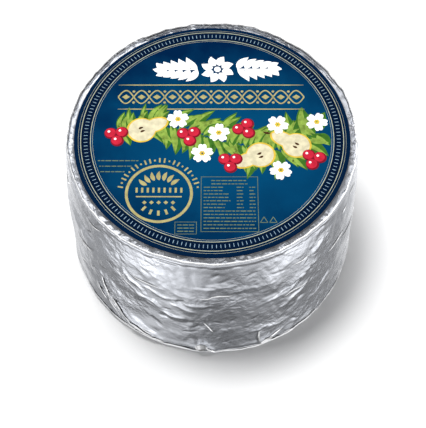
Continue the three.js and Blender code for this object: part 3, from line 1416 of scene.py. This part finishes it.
@dataclass
class Label:
    """The label: a thin disc of paper, a little cockled, its rim sloping down with the panel."""

    finish: LabelFinish
    steps: int = 288
    rings: int = 28
    slope_width: float = 4 * MM
    edge_drop: float = 0.4 * MM
    edge_rounding: Point = (0.15 * MM, 0.12 * MM)
    cockle: float = 0.1 * MM
    cockle_size: float = 34 * MM
    small_cockle_size: float = 15 * MM
    small_cockle_share: float = 0.4
    radius: float = field(init=False)
    top: float = field(init=False)
    thickness: float = field(init=False)

    def __post_init__(self) -> None:
        """Reads the label's size from the frame."""
        low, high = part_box(LABEL_NODE)
        self.radius, self.top = high.x, high.z
        self.thickness = high.z - low.z - self.edge_drop

    def face(self, place: Array) -> Array:
        """Gives the height of the label's printed face.

        Args:
            place: points, of which x and y are read.

        Returns:
            The face's height at each.
        """
        radius = np.hypot(place[:, 0], place[:, 1])
        drop = self.edge_drop * smoothstep(self.radius - self.slope_width, self.radius, radius)
        flat = place * (1, 1, 0)
        small = Grain(4).swell(flat / self.small_cockle_size + 0.5)
        cockle = Grain(3).swell(flat / self.cockle_size + 0.5) + self.small_cockle_share * small
        return self.top - drop + self.cockle * cockle

    def laid(self, place: Array, level: float) -> Array:
        """Returns points laid on the printed face and lifted by a level, with their own heights."""
        return np.column_stack([place[:, :2], self.face(place) + place[:, 2] + level])

    def build(self) -> Piece:
        """Spins the disc, cockles it and dresses it.

        Returns:
            The label piece.
        """
        rings = [self.radius * share for share in np.linspace(0, 1, self.rings + 2)[1:-1]]
        inset, lift = self.edge_rounding
        rim = self.radius - inset
        under = [(0.0, 0.0), *((radius, 0.0) for radius in rings[::3]), (rim, 0.0)]
        edge = [(self.radius, lift), (self.radius, self.thickness - lift)]
        over = [(radius, self.thickness) for radius in (rim, *rings[::-1], 0.0)]
        piece = Bench.turned("printed_label", [*under, *edge, *over], self.steps)
        Bench.reshape(piece, lambda place: self.laid(place, -self.thickness))
        Bench.take(piece)
        bpy.ops.object.shade_smooth_by_angle(angle=math.radians(40))
        Bench.dress(piece, self.finish.material(self.radius), Slot.LABEL, replaces=LABEL_NODE)
        return piece


def stepped(middle: Point, distance: float, turn: float) -> Point:
    """Returns the place at a distance and in a direction from another."""
    return middle[0] + distance * math.cos(turn), middle[1] + distance * math.sin(turn)


@dataclass
class Stencil:
    """Flat shapes of one ink, gathered in millimetres from the label's middle, then pressed on its face."""

    name: str
    ink: Ink
    layer: int = 1
    plate: float = 0.035 * MM
    sunk: float = 0.01 * MM
    grid: float = 7 * MM
    leaf_steps: int = 10
    leaf_bend: float = 0.09
    shapes: list[Piece] = field(default_factory=list)

    def disc(
        self, centre: Point, radius: float, sides: int = 24, stretch: float = 1.0, turn: float = 0.0
    ) -> None:
        """Adds a round or oval.

        Args:
            centre: its middle.
            radius: its radius.
            sides: how many sides it is drawn with.
            stretch: how many times longer than wide it is.
            turn: the direction of its long side.
        """
        Bench.clear()
        bpy.ops.mesh.primitive_circle_add(
            vertices=sides,
            radius=radius * MM,
            fill_type="NGON",
            location=(centre[0] * MM, centre[1] * MM, 0),
            rotation=(0, 0, turn),
        )
        shape = bpy.context.object
        shape.scale.x = stretch
        self.shapes.append(shape)

    def bar(self, centre: Point, length: float, stroke: float, turn: float = 0.0) -> None:
        """Adds a straight bar.

        Args:
            centre: its middle.
            length: its length.
            stroke: its width.
            turn: its direction.
        """
        Bench.clear()
        place = (centre[0] * MM, centre[1] * MM, 0)
        bpy.ops.mesh.primitive_plane_add(size=MM, location=place, rotation=(0, 0, turn))
        shape = bpy.context.object
        shape.scale = (length, stroke, 1)
        self.shapes.append(shape)

    def strip(
        self, path: Callable[[float], Point], stroke: float | Callable[[float], float], steps: int
    ) -> None:
        """Adds a strip that follows a path.

        Args:
            path: the path's place at each share of its length, from 0 to 1.
            stroke: the strip's width, the same all along or by the share.
            steps: how many pieces it is bent in.
        """
        Bench.clear()
        bpy.ops.mesh.primitive_grid_add(x_subdivisions=steps, y_subdivisions=1, size=1)
        shape = bpy.context.object

        def bent(place: Array) -> Array:
            """Lays the vertices of the straight strip beside the path."""
            rows = []
            for across, side, _ in place:
                share = across + 0.5
                (x0, y0), (x1, y1), (x, y) = path(share - 1e-4), path(share + 1e-4), path(share)
                along = Vector((x1 - x0, y1 - y0)).normalized()
                width = stroke(share) if callable(stroke) else stroke
                rows.append(((x - along.y * width * side) * MM, (y + along.x * width * side) * MM, 0))
            return np.array(rows)

        Bench.reshape(shape, bent)
        self.shapes.append(shape)

    def ring(self, centre: Point, radius: float, stroke: float, steps: int) -> None:
        """Adds a ring, its radius being that of the middle of its stroke."""
        self.strip(lambda share: stepped(centre, radius, TURN * share), stroke, steps)

    def leaf(self, foot: Point, length: float, width: float, turn: float, side: int = 0) -> None:
        """Adds a pointed leaf, whole or half.

        Args:
            foot: where its stalk is.
            length: its length.
            width: its greatest width.
            turn: the direction that it points in.
            side: 0 for a whole leaf, 1 or -1 for the half on one side of its vein.
        """
        ahead = Vector((math.cos(turn), math.sin(turn)))

        def path(share: float) -> Point:
            """Returns a place along the leaf's slightly bent vein, or along the middle of a half leaf."""
            bend = self.leaf_bend * length * math.sin(math.pi * share)
            aside = bend + side * 0.25 * width * self._girth(share)
            run = length * share
            return foot[0] + ahead.x * run - ahead.y * aside, foot[1] + ahead.y * run + ahead.x * aside

        breadth = 0.5 * width if side else width
        self.strip(path, lambda share: breadth * self._girth(share), self.leaf_steps)

    @staticmethod
    def _girth(share: float) -> float:
        """Returns a leaf's width at a share of its length, as a share of the greatest."""
        return max(0.02, math.sin(math.pi * min(1.0, max(0.0, share)) ** 0.8)) ** 0.9

    def press(self, label: Label) -> Piece:
        """Joins the shapes, cuts them fine enough to follow the label, thickens and lays them on it.

        Args:
            label: the label that they are printed on.

        Returns:
            The printed piece.
        """
        piece = Bench.joined(self.name, self.shapes)
        bpy.ops.object.transform_apply(location=True, rotation=True, scale=True)
        self._cut(piece)
        bpy.ops.object.modifier_add(type="SOLIDIFY")
        piece.modifiers[0].thickness = self.plate
        piece.modifiers[0].offset = 1
        bpy.ops.object.modifier_apply(modifier=piece.modifiers[0].name)
        level = (self.layer - 1) * self.plate - self.sunk
        Bench.reshape(piece, lambda place: label.laid(place, level))
        Bench.dress(piece, self.ink.value.material(), Slot.LABEL)
        return piece

    def _cut(self, piece: Piece) -> None:
        """Turns all faces up and cuts them along a square grid."""
        bpy.ops.object.mode_set(mode="EDIT")
        bpy.ops.mesh.select_all(action="SELECT")
        bpy.ops.mesh.normals_make_consistent(inside=False)
        extent = [[v.co[axis] for v in piece.data.vertices] for axis in (0, 1)]
        for axis, places in enumerate(extent):
            normal = (1, 0, 0) if axis == 0 else (0, 1, 0)
            first = math.ceil(min(places) / self.grid)
            last = math.floor(max(places) / self.grid)
            for line in range(first, last + 1):
                bpy.ops.mesh.select_all(action="SELECT")
                place = tuple(line * self.grid * n for n in normal)
                bpy.ops.mesh.bisect(plane_co=place, plane_no=normal)
        bpy.ops.object.mode_set(mode="OBJECT")


@dataclass
class Border:
    """The rings and ticks round the label, at shares of its radius."""

    label: Label
    strong_rings: tuple[float, ...] = (0.9502, 0.8798)
    fine_rings: tuple[float, ...] = (0.9682, 0.8648)
    strong_stroke: float = 0.42
    fine_stroke: float = 0.16
    ring_steps: int = 288
    tick_ring: float = 0.915
    ticks: int = 192
    tick_size: Point = (0.36, 2.3)

    def build(self) -> list[Piece]:
        """Prints the rings and the ticks.

        Returns:
            The two pieces.
        """
        radius = self.label.radius / MM
        rings = Stencil("border_rings", Ink.PALE_GOLD)
        for share in self.strong_rings:
            rings.ring((0, 0), share * radius, self.strong_stroke, self.ring_steps)
        for share in self.fine_rings:
            rings.ring((0, 0), share * radius, self.fine_stroke, self.ring_steps)
        ticks = Stencil("border_ticks", Ink.PALE)
        width, length = self.tick_size
        for tick in range(self.ticks):
            turn = TURN * tick / self.ticks
            ticks.bar(stepped((0, 0), self.tick_ring * radius, turn), length, width, turn)
        return [rings.press(self.label), ticks.press(self.label)]


@dataclass
class Headings:
    """The rules, the white ornament over them and the running gold ornament between them, in millimetres.

    A leaf's size is (length, width).
    """

    label: Label
    rule_heights: Point = (38.1, 19.7)
    rule_ends: Point = (-58.3, 57.0)
    rule_stroke: float = 0.75
    rule_steps: int = 60
    running_height: float = 28.9
    running_swing: float = 4.9
    running_periods: int = 6
    running_stroke: float = 0.85
    period_steps: int = 40
    lozenge: float = 1.9
    lozenge_stretch: float = 1.3
    dot: float = 0.85
    dot_offset: float = 4.2
    ornament_middle: Point = (3.3, 50.4)
    ornament_reach: float = 40.0
    petals: int = 8
    petal_foot: float = 3.0
    petal_size: Point = (7.8, 5.4)
    rosette_heart: float = 2.1
    stem_start: float = 12.5
    leaf_pairs: int = 5
    leaf_step: float = 4.9
    leaf_length: float = 11.6
    leaf_shortening: float = 0.9
    leaf_width: float = 4.9
    leaf_angle: float = 52
    leaf_folding: float = 4
    last_leaf: float = 6.5
    last_leaf_size: Point = (7.2, 4.2)

    def build(self) -> list[Piece]:
        """Prints the rules and both ornaments.

        Returns:
            The two pieces.
        """
        gold = Stencil("gold_headings", Ink.GOLD)
        for height in self.rule_heights:
            path = partial(self._along_rule, height)
            gold.strip(path, self._rule_width, self.rule_steps)
        self._running(gold)
        white = Stencil("white_ornament", Ink.WHITE)
        self._rosette(white)
        for way in (1, -1):
            self._branch(white, way)
        return [gold.press(self.label), white.press(self.label)]

    def _along_rule(self, height: float, share: float) -> Point:
        """Returns a rule's place at a share of its length."""
        return mix(*self.rule_ends, share), height

    def _rule_width(self, share: float) -> float:
        """Returns a rule's width at a share of its length, a little less at its ends."""
        return self.rule_stroke * min(1.0, 0.35 + 8 * min(share, 1 - share))

    def _wave(self, phase: float, share: float) -> Point:
        """Returns a place on one of the running ornament's two waves."""
        swing = self.running_swing * math.sin(TURN * self.running_periods * share + phase)
        return mix(*self.rule_ends, share), self.running_height + swing

    def _running(self, ink: Stencil) -> None:
        """Draws two waves that cross, with a lozenge in each eye and dots above and below each crossing."""
        steps = self.period_steps * self.running_periods
        for phase in (0, math.pi):
            ink.strip(partial(self._wave, phase), self.running_stroke, steps)
        start, end = self.rule_ends
        period = (end - start) / self.running_periods
        for half in range(2 * self.running_periods):
            eye = (start + period * (half / 2 + 0.25), self.running_height)
            ink.disc(eye, self.lozenge, 4, stretch=self.lozenge_stretch)
            if half > 0:
                crossing = start + period * half / 2
                for way in (1, -1):
                    ink.disc((crossing, self.running_height + way * self.dot_offset), self.dot, 16)

    def _rosette(self, ink: Stencil) -> None:
        """Draws petals round a small ring."""
        for petal in range(self.petals):
            turn = TURN * (petal + 0.5) / self.petals
            ink.leaf(stepped(self.ornament_middle, self.petal_foot, turn), *self.petal_size, turn)
        ink.disc(self.ornament_middle, self.rosette_heart)

    def _branch(self, ink: Stencil, way: int) -> None:
        """Draws a laurel branch that runs outwards: to the right for 1, to the left for -1."""
        x, y = self.ornament_middle
        stem_end = self.ornament_reach - 3
        ink.strip(lambda share: (x + way * mix(self.stem_start, stem_end, share), y), 1.0, 12)
        for pair in range(self.leaf_pairs):
            foot = x + way * (self.stem_start + 0.1 + self.leaf_step * pair)
            length = self.leaf_length - self.leaf_shortening * pair
            for up in (1, -1):
                turn = up * math.radians(self.leaf_angle - self.leaf_folding * pair)
                heading = turn if way > 0 else math.pi - turn
                ink.leaf((foot, y + 0.3 * up), length, self.leaf_width, heading)
        last = (x + way * (self.ornament_reach - self.last_leaf), y)
        ink.leaf(last, *self.last_leaf_size, 0 if way > 0 else math.pi)


@dataclass
class Seal:
    """A round seal of leaves, bars and dots, ringed by short dashes, in millimetres.

    A size is (length, width), and a fan is given by its radius and its step in degrees.
    """

    label: Label
    middle: Point = (-31.4, -41.2)
    radius: float = 19.2
    stroke: float = 1.7
    ring_steps: int = 120
    dashes: int = 23
    dash_arc: float = 158.0
    dash_radius: float = 23.3
    dash_lengths: Point = (3.2, 1.2)
    leaves: int = 7
    leaf_fan: Point = (9.2, 17)
    leaf_size: Point = (6.4, 2.6)
    bars: int = 9
    bar_step: float = 3.3
    bar_height: float = 2.3
    bar_size: Point = (1.3, 3.4)
    rule_height: float = -2.2
    rule_size: Point = (27.0, 0.8)
    dots: int = 5
    dot_step: float = 4.2
    dot_height: float = -6.2
    dot: float = 1.35
    rays: int = 5
    ray_fan: Point = (13.4, 20)
    ray_size: Point = (3.4, 1.5)

    def build(self) -> list[Piece]:
        """Prints the seal.

        Returns:
            The piece.
        """
        gold = Stencil("gold_seal", Ink.GOLD)
        x, y = self.middle
        gold.ring(self.middle, self.radius, self.stroke, self.ring_steps)
        long, short = self.dash_lengths
        for dash in range(self.dashes):
            turn = math.radians(90 + self.dash_arc * (dash / (self.dashes - 1) - 0.5))
            gold.bar(stepped(self.middle, self.dash_radius, turn), long if dash % 3 else short, 1.0, turn)
        for foot, turn in self._fan(self.leaves, self.leaf_fan, 90):
            gold.leaf(foot, *self.leaf_size, turn)
        for bar in range(self.bars):
            gold.bar((x + self.bar_step * (bar - self.bars // 2), y + self.bar_height), *self.bar_size)
        gold.bar((x, y + self.rule_height), *self.rule_size)
        for dot in range(self.dots):
            gold.disc((x + self.dot_step * (dot - self.dots // 2), y + self.dot_height), self.dot, 4)
        for place, turn in self._fan(self.rays, self.ray_fan, -90):
            gold.bar(place, *self.ray_size, turn)
        return [gold.press(self.label)]

    def _fan(self, count: int, fan: Point, middle: float) -> list[tuple[Point, float]]:
        """Returns places at (radius, step in degrees) and their directions, spread about a middle one."""
        radius, step = fan
        turns = [math.radians(middle + step * (index - count // 2)) for index in range(count)]
        return [(stepped(self.middle, radius, turn), turn) for turn in turns]


@dataclass
class SmallPrint:
    """A framed panel of rows, short blocks of bars and two plain triangles, in fine gold, in millimetres.

    The first column's numbers are its shortest end and by how much the end varies, and the second's are
    its start and end, all from the panel's left.
    """

    label: Label
    panel: Spot = (-6.5, -67.0, 27.0, -29.6)
    panel_stroke: float = 0.32
    rows: int = 15
    heading_rows: int = 2
    table_rows: int = 7
    margin: float = 1.5
    heading_margin: float = 6
    first_column: Point = (13, 5)
    second_column: Point = (21, 25)
    third_column: float = 28.5
    aside: Point = (-68.5, -18.2)
    aside_end: float = -44.2
    aside_step: float = 3.9
    box: Spot = (-21.6, -68.6, -9.1, -60.6)
    box_stroke: float = 0.3
    box_margin: float = 1.4
    box_step: float = 2.1
    triangles: tuple[Point, ...] = ((30.2, -59.6), (35.6, -59.6))
    triangle_reach: float = 2.5
    triangle_stroke: float = 0.4
    word_lengths: Point = (1.0, 3.8)
    word_stroke: float = 0.6
    word_gap: float = 0.55
    seed: int = 11

    def build(self) -> list[Piece]:
        """Prints the panel and the blocks.

        Returns:
            The piece.
        """
        fine = Stencil("fine_print", Ink.FAINT_GOLD)
        draw = random.Random(self.seed)
        self._table(fine, draw)
        x, y = self.aside
        for row in range(3):
            ends = (x + 0.9 * row, self.aside_end - 4 * row)
            self._words(fine, draw, ends, y - self.aside_step * row)
        self._frame(fine, self.box, self.box_stroke)
        left, _, right, high = self.box
        for row in range(3):
            ends = (left + self.box_margin, right - self.box_margin)
            self._words(fine, draw, ends, high - 2.0 - self.box_step * row)
        for middle in self.triangles:
            self._triangle(fine, middle)
        return [fine.press(self.label)]

    def _table(self, ink: Stencil, draw: random.Random) -> None:
        """Draws the framed panel: headings, rows of three columns, and full rows below."""
        left, low, right, high = self.panel
        self._frame(ink, self.panel, self.panel_stroke)
        for row in range(self.rows):
            y = mix(high - 2.6, low + 2.2, row / (self.rows - 1))
            if row < self.heading_rows:
                self._words(ink, draw, (left + self.heading_margin, right - self.heading_margin), y)
            elif row < self.heading_rows + self.table_rows:
                shortest, spread = self.first_column
                start, end = self.second_column
                self._words(ink, draw, (left + self.margin, left + shortest + spread * draw.random()), y)
                self._words(ink, draw, (left + start, left + end), y)
                self._words(ink, draw, (left + self.third_column, right - self.margin), y)
            else:
                self._words(ink, draw, (left + self.margin, right - self.margin), y)

    @staticmethod
    def _frame(ink: Stencil, box: Spot, stroke: float) -> None:
        """Draws a rectangle's outline from its left, low, right and high sides."""
        left, low, right, high = box
        for y in (low, high):
            ink.bar(((left + right) / 2, y), right - left + stroke, stroke)
        for x in (left, right):
            ink.bar((x, (low + high) / 2), stroke, high - low - stroke)

    def _words(self, ink: Stencil, draw: random.Random, ends: Point, y: float) -> None:
        """Draws a row of short bars of uneven length.

        Args:
            ink: the stencil they are added to.
            draw: where their lengths come from.
            ends: where the row starts and ends.
            y: its height.
        """
        x, end = ends
        shortest, longest = self.word_lengths
        while x < end - self.word_stroke:
            length = min(shortest + (longest - shortest) * draw.random(), end - x)
            ink.bar((x + length / 2, y), length, self.word_stroke)
            x += length + self.word_gap

    def _triangle(self, ink: Stencil, middle: Point) -> None:
        """Draws a triangle's outline round a middle."""
        side_length = math.sqrt(3) * self.triangle_reach
        for side in range(3):
            turn = math.radians(-90 + 120 * side)
            place = stepped(middle, self.triangle_reach / 2, turn)
            ink.bar(place, side_length, self.triangle_stroke, turn + math.pi / 2)


@dataclass
class Garland:
    """A garland of leaves, halved pears, blossoms and red berries across the label, in millimetres.

    A pear is (x, y, direction in degrees) and its halves' ovals are (middle, half length, width).
    """

    label: Label
    seed: int = 5
    spine: tuple[Point, ...] = ((-57, 1), (-38, 8), (-18, 6), (2, -3), (24, -9), (46, -10), (68, 4))
    leaf_pairs: int = 46
    leaf_growth: Point = (0.8, 1.25)
    leaf_lengths: Point = (13, 22)
    leaf_widths: Point = (5.0, 8.0)
    leaf_angles: Point = (38, 83)
    leaf_light: Point = (0.94, 0.86)
    shortest_leaf: float = 6.0
    reach: float = 71.6
    pears: tuple[tuple[float, float, float], ...] = ((27, -15, 205), (49, -6, 150), (-41, 5, 25))
    pear_length: float = 27
    pear_middle: float = 0.42
    pear_belly: tuple[float, float, float] = (0.33, 0.335, 18)
    pear_neck: tuple[float, float, float] = (0.68, 0.315, 10.5)
    pear_rim: Point = (0.035, 1.8)
    pear_seed: Point = (3.2, 1.5)
    pear_stalk: Point = (5.0, 1.5)
    blossoms: tuple[Point, ...] = ((-21, 12), (4, 2), (40, 8), (-6, -13), (41, -25), (64, 10))
    blossom_reach: float = 7.0
    berries: tuple[Point, ...] = ((-58, 0), (-14, 0), (11, -19), (20, 5), (61, -17))
    berry: float = 4.0
    berry_offset: float = 3.9
    berry_face: Point = (3.3, 0.4)
    berry_glint: Point = (0.8, 1.3)

    def build(self) -> list[Piece]:
        """Prints the garland, one piece for each ink.

        Returns:
            The pieces.
        """
        dark = Stencil("garland_dark_leaves", Ink.DARK_GREEN, layer=1)
        light = Stencil("garland_light_leaves", Ink.LIGHT_GREEN, layer=2)
        skin = Stencil("garland_skin", Ink.YELLOW, layer=3)
        cream = Stencil("garland_flesh", Ink.CREAM, layer=4)
        deep_shade = Stencil("garland_berry_shade", Ink.DARK_RED, layer=5)
        brown = Stencil("garland_stalks", Ink.BROWN, layer=5)
        red = Stencil("garland_berries", Ink.RED, layer=6)
        white = Stencil("garland_white", Ink.WHITE, layer=7)
        hearts = Stencil("garland_hearts", Ink.YELLOW, layer=8)
        self._leaves(dark, light)
        for x, y, degrees in self.pears:
            self._pear(skin, cream, brown, (x, y), math.radians(degrees))
        for middle in self.blossoms:
            self._blossom(white, hearts, middle)
        for middle in self.berries:
            self._berries(deep_shade, red, white, middle)
        inks = (dark, light, deep_shade, skin, red, cream, white, brown, hearts)
        return [ink.press(self.label) for ink in inks]

    def _leaves(self, dark: Stencil, light: Stencil) -> None:
        """Draws pairs of leaves along the spine, each with one half lighter."""
        draw = random.Random(self.seed)

        def between(ends: Point) -> float:
            """Draws a number between two."""
            return ends[0] + (ends[1] - ends[0]) * draw.random()

        long_share, wide_share = self.leaf_light
        for step in range(self.leaf_pairs):
            share = (step + 0.5) / self.leaf_pairs
            x, y, heading = self._on_spine(share)
            growth = mix(*self.leaf_growth, share)
            for way in (1, -1):
                turn = heading + way * math.radians(between(self.leaf_angles))
                length = growth * between(self.leaf_lengths)
                width = growth * between(self.leaf_widths)
                foot = (x + between((-1, 1)), y + between((-1, 1)))
                length = min(length, self._room(foot, turn))
                if length < self.shortest_leaf:
                    continue
                dark.leaf(foot, length, width, turn)
                light.leaf(foot, long_share * length, wide_share * width, turn, side=way)

    def _room(self, foot: Point, turn: float) -> float:
        """Returns how far a leaf can reach from its foot before it meets the border."""
        ahead = foot[0] * math.cos(turn) + foot[1] * math.sin(turn)
        return math.sqrt(ahead ** 2 + self.reach ** 2 - foot[0] ** 2 - foot[1] ** 2) - ahead

    def _on_spine(self, share: float) -> tuple[float, float, float]:
        """Returns a place on the spine at a share of its length, and the direction there."""
        run = min(share, 0.9999) * (len(self.spine) - 1)
        index = int(run)
        (x0, y0), (x1, y1) = self.spine[index], self.spine[index + 1]
        return mix(x0, x1, run - index), mix(y0, y1, run - index), math.atan2(y1 - y0, x1 - x0)

    def _pear_width(self, share: float) -> float:
        """Returns a pear's width at a share of its length, from its belly's oval or its neck's."""
        widths = [
            width * math.sqrt(max(0.0, 1 - ((share - middle) / half) ** 2))
            for middle, half, width in (self.pear_belly, self.pear_neck)
        ]
        return max(0.2, *widths)

    def _pear(self, skin: Stencil, flesh: Stencil, brown: Stencil, middle: Point, turn: float) -> None:
        """Draws a halved pear: skin, flesh, two seeds and a stalk."""
        rim, narrowing = self.pear_rim

        def path(share: float) -> Point:
            """Returns a place along the pear's middle line."""
            return stepped(middle, self.pear_length * (share - self.pear_middle), turn)

        skin.strip(path, self._pear_width, 36)
        flesh.strip(
            lambda share: path(mix(rim, 1 - rim, share)),
            lambda share: max(0.1, self._pear_width(share) - narrowing),
            36,
        )
        for way in (1, -1):
            beside = stepped(path(0.34), 1.3 * way, turn + math.pi / 2)
            brown.leaf(stepped(beside, -1.4, turn), *self.pear_seed, turn)
        brown.leaf(path(0.99), *self.pear_stalk, turn + 0.3)

    def _blossom(self, petals: Stencil, heart: Stencil, middle: Point) -> None:
        """Draws a blossom of five notched petals and its yellow heart."""
        reach = self.blossom_reach
        for petal in range(5):
            for side in (-0.2, 0.2):
                turn = TURN * petal / 5 + middle[0] + side
                petals.disc(stepped(middle, 0.56 * reach, turn), 0.24 * reach, 16, stretch=1.7, turn=turn)
        for grain in range(6):
            heart.disc(stepped(middle, 0.17 * reach, TURN * grain / 6), 0.1 * reach, 10)

    def _berries(self, deep_shade: Stencil, red: Stencil, white: Stencil, middle: Point) -> None:
        """Draws three berries, each with its shaded edge and its glint."""
        face, face_shift = self.berry_face
        glint, glint_shift = self.berry_glint
        for berry in range(3):
            x, y = stepped(middle, self.berry_offset, TURN * berry / 3 + middle[0])
            deep_shade.disc((x, y), self.berry)
            red.disc((x - face_shift, y + face_shift), face)
            white.disc((x - glint_shift, y + glint_shift), glint, 12)


@dataclass(frozen=True)
class SoftCard:
    """A soft pale card far off in the studio: its direction, and how its light fades out, in degrees."""

    azimuth: float
    elevation: float
    inner: float
    outer: float
    strength: float

    def direction(self) -> Vector:
        """Returns the direction of its middle."""
        turn, rise = math.radians(self.azimuth), math.radians(self.elevation)
        return Vector((math.sin(turn) * math.cos(rise), -math.cos(turn) * math.cos(rise), math.sin(rise)))

    def light(self, nodes: Nodes) -> Socket:
        """Returns how strong its light is in each direction, from the world's nodes."""
        inputs = {0: nodes.place, 1: self.direction()}
        toward = nodes.add("VectorMath", inputs, operation="DOT_PRODUCT").outputs["Value"]
        inputs = {
            "Value": toward,
            "From Min": math.cos(math.radians(self.outer)),
            "From Max": math.cos(math.radians(self.inner)),
            "To Max": self.strength,
        }
        return nodes.add("MapRange", inputs, interpolation_type="SMOOTHSTEP").outputs[0]


@dataclass(frozen=True)
class Air:
    """The soft light all round, which changes with height and has pale cards in it.

    Heights are (z of the direction, strength).
    """

    backdrop: float = 0.96
    diffuse_share: float = 0.62
    unevenness: Point = (0.6, 1.45)
    unevenness_scale: float = 3.2
    unevenness_detail: float = 1.5
    heights: tuple[Point, ...] = (
        (-1.0, 0.12), (-0.93, 0.18), (-0.86, 0.27), (-0.80, 0.42), (-0.70, 0.68), (-0.55, 0.88),
        (-0.42, 0.80), (-0.25, 0.48), (-0.12, 0.55), (0.0, 0.95), (0.28, 1.0), (0.44, 0.78),
        (0.62, 0.40), (1.0, 0.20),
    )
    cards: tuple[SoftCard, ...] = (
        SoftCard(-43, -45, 12, 28, 0.55),
        SoftCard(60, -39, 12, 28, 0.36),
        SoftCard(180, -44, 10, 44, 0.68),
        SoftCard(-150, -44, 4, 26, 0.25),
        SoftCard(-160, 30, 6, 18, 0.6),
        SoftCard(180, 40, 26, 41, 0.8),
        SoftCard(-135, 60, 8, 18, 0.7),
        SoftCard(132, 66, 4, 12, 0.5),
        SoftCard(10, 76, 3, 9, 0.8),
    )

    def fill(self) -> None:
        """Surrounds the scene with the light, weaker for what it lights than for what is mirrored."""
        world = bpy.data.worlds.new("studio_air")
        bpy.context.scene.world = world
        world.use_nodes = True
        nodes = Nodes(world.node_tree, "Generated")
        level = self._by_height(nodes)
        for card in self.cards:
            level = nodes.sum("ADD", level, card.light(nodes))
        clouds = nodes.clouds(self.unevenness_scale, self.unevenness_detail)
        level = nodes.sum("MULTIPLY", level, nodes.ranged(clouds, *self.unevenness, *CLOUDY))
        rays = nodes.add("LightPath").outputs
        dimming = nodes.sum("MULTIPLY", rays["Is Diffuse Ray"], self.diffuse_share - 1)
        level = nodes.sum("MULTIPLY", level, nodes.sum("ADD", dimming, 1.0))
        seen = nodes.sum("MULTIPLY", rays["Is Camera Ray"], self.backdrop)
        background = nodes.tree.nodes["Background"].inputs
        nodes.tree.links.new(nodes.sum("MAXIMUM", level, seen), background["Strength"])
        background["Color"].default_value = (1, 1, 1, 1)

    def _by_height(self, nodes: Nodes) -> Socket:
        """Returns the light's strength by the height of its direction, which runs from -1 to 1."""
        height = nodes.add("SeparateXYZ", {0: nodes.place}).outputs[2]
        share = nodes.sum("ADD", nodes.sum("MULTIPLY", height, 0.5), 0.5)
        curve = nodes.add("FloatCurve", {"Value": share})
        points = curve.mapping.curves[0].points
        start, *between, end = (((z + 1) / 2, level) for z, level in self.heights)
        points[0].location, points[1].location = start, end
        for place in between:
            points.new(*place)
        curve.mapping.use_clip = False
        curve.mapping.update()
        return curve.outputs[0]


@dataclass(frozen=True)
class Softbox:
    """A round softbox overhead, which the foil doesn't mirror: its name, place, size and power."""

    name: str
    place: tuple[float, float, float]
    size: float
    power: float

    def hang(self) -> None:
        """Hangs the softbox, facing the wheel."""
        lamp = bpy.data.lights.new(self.name, "AREA")
        lamp.shape = "DISK"
        lamp.size = self.size
        lamp.energy = self.power
        box = bpy.data.objects.new(self.name, lamp)
        bpy.context.scene.collection.objects.link(box)
        box.visible_glossy = False
        box.location = self.place
        box.rotation_euler = (-Vector(self.place)).to_track_quat("-Z", "Y").to_euler()


@dataclass
class Studio:
    """The floor, the light and the camera."""

    floor_radius: float = 6.0
    floor_sides: int = 96
    air: Air = Air()
    softboxes: tuple[Softbox, ...] = (
        Softbox("key_softbox", (-0.265, 0.11, 1.50), 0.42, 16.0),
        Softbox("back_softbox", (0.0, 0.28, 1.50), 0.34, 5.2),
    )
    camera_place: tuple[float, float, float] = (0.0005, -0.3885, 0.6834)
    camera_tilt: float = 30.28
    lens: float = 95.33
    sensor_width: float = 36.0

    def build(self) -> None:
        """Makes the floor, the light and the camera."""
        self._floor()
        self.air.fill()
        for softbox in self.softboxes:
            softbox.hang()
        self._camera()

    def _floor(self) -> None:
        """Makes a plain pale floor, which the foil doesn't mirror."""
        Bench.clear()
        bpy.ops.mesh.primitive_circle_add(
            vertices=self.floor_sides,
            radius=self.floor_radius,
            fill_type="NGON",
            location=(0, 0, 0),
        )
        floor = bpy.context.object
        floor.name = "studio_floor"
        floor.visible_glossy = False
        recipe = Recipe("plain_floor")
        recipe.set(Base_Color=(0.92, 0.92, 0.92, 1), Roughness=0.9, Specular_IOR_Level=0.0)
        floor.data.materials.append(recipe.material)

    def _camera(self) -> None:
        """Sets the camera at the photograph's angle."""
        data = bpy.data.cameras.new("camera")
        data.lens = self.lens
        data.sensor_width = self.sensor_width
        data.clip_start = 0.01
        camera = bpy.data.objects.new("camera", data)
        bpy.context.scene.collection.objects.link(camera)
        camera.location = self.camera_place
        camera.rotation_euler = (math.radians(self.camera_tilt), 0, 0)
        bpy.context.scene.camera = camera
        bpy.context.scene.view_settings.view_transform = "Standard"


def main() -> None:
    """Builds the pieces in order."""
    logging.basicConfig(level=logging.INFO, format="%(name)s: %(message)s")
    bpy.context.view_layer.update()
    Studio().build()
    label = Label(LabelFinish())
    wrap = FoilWrap(WheelForm(), FoilFinish(), label.radius)
    wrap.build()
    # The creases' raised edges catch real reflections; their brighter copy of the foil adds painted
    # highlight to them.
    bright, dull = (0.96, 0.965, 0.98), (0.86, 0.87, 0.89)
    Creases(wrap, FoilFinish("highlight_brightened_foil", bright, dull, smooth=0.15, rough=0.28)).build()
    label.build()
    for part in (Border(label), Headings(label), Seal(label), SmallPrint(label), Garland(label)):
        for piece in part.build():
            log.info("printed %s", piece.name)


if __name__ == "__main__":
    main()
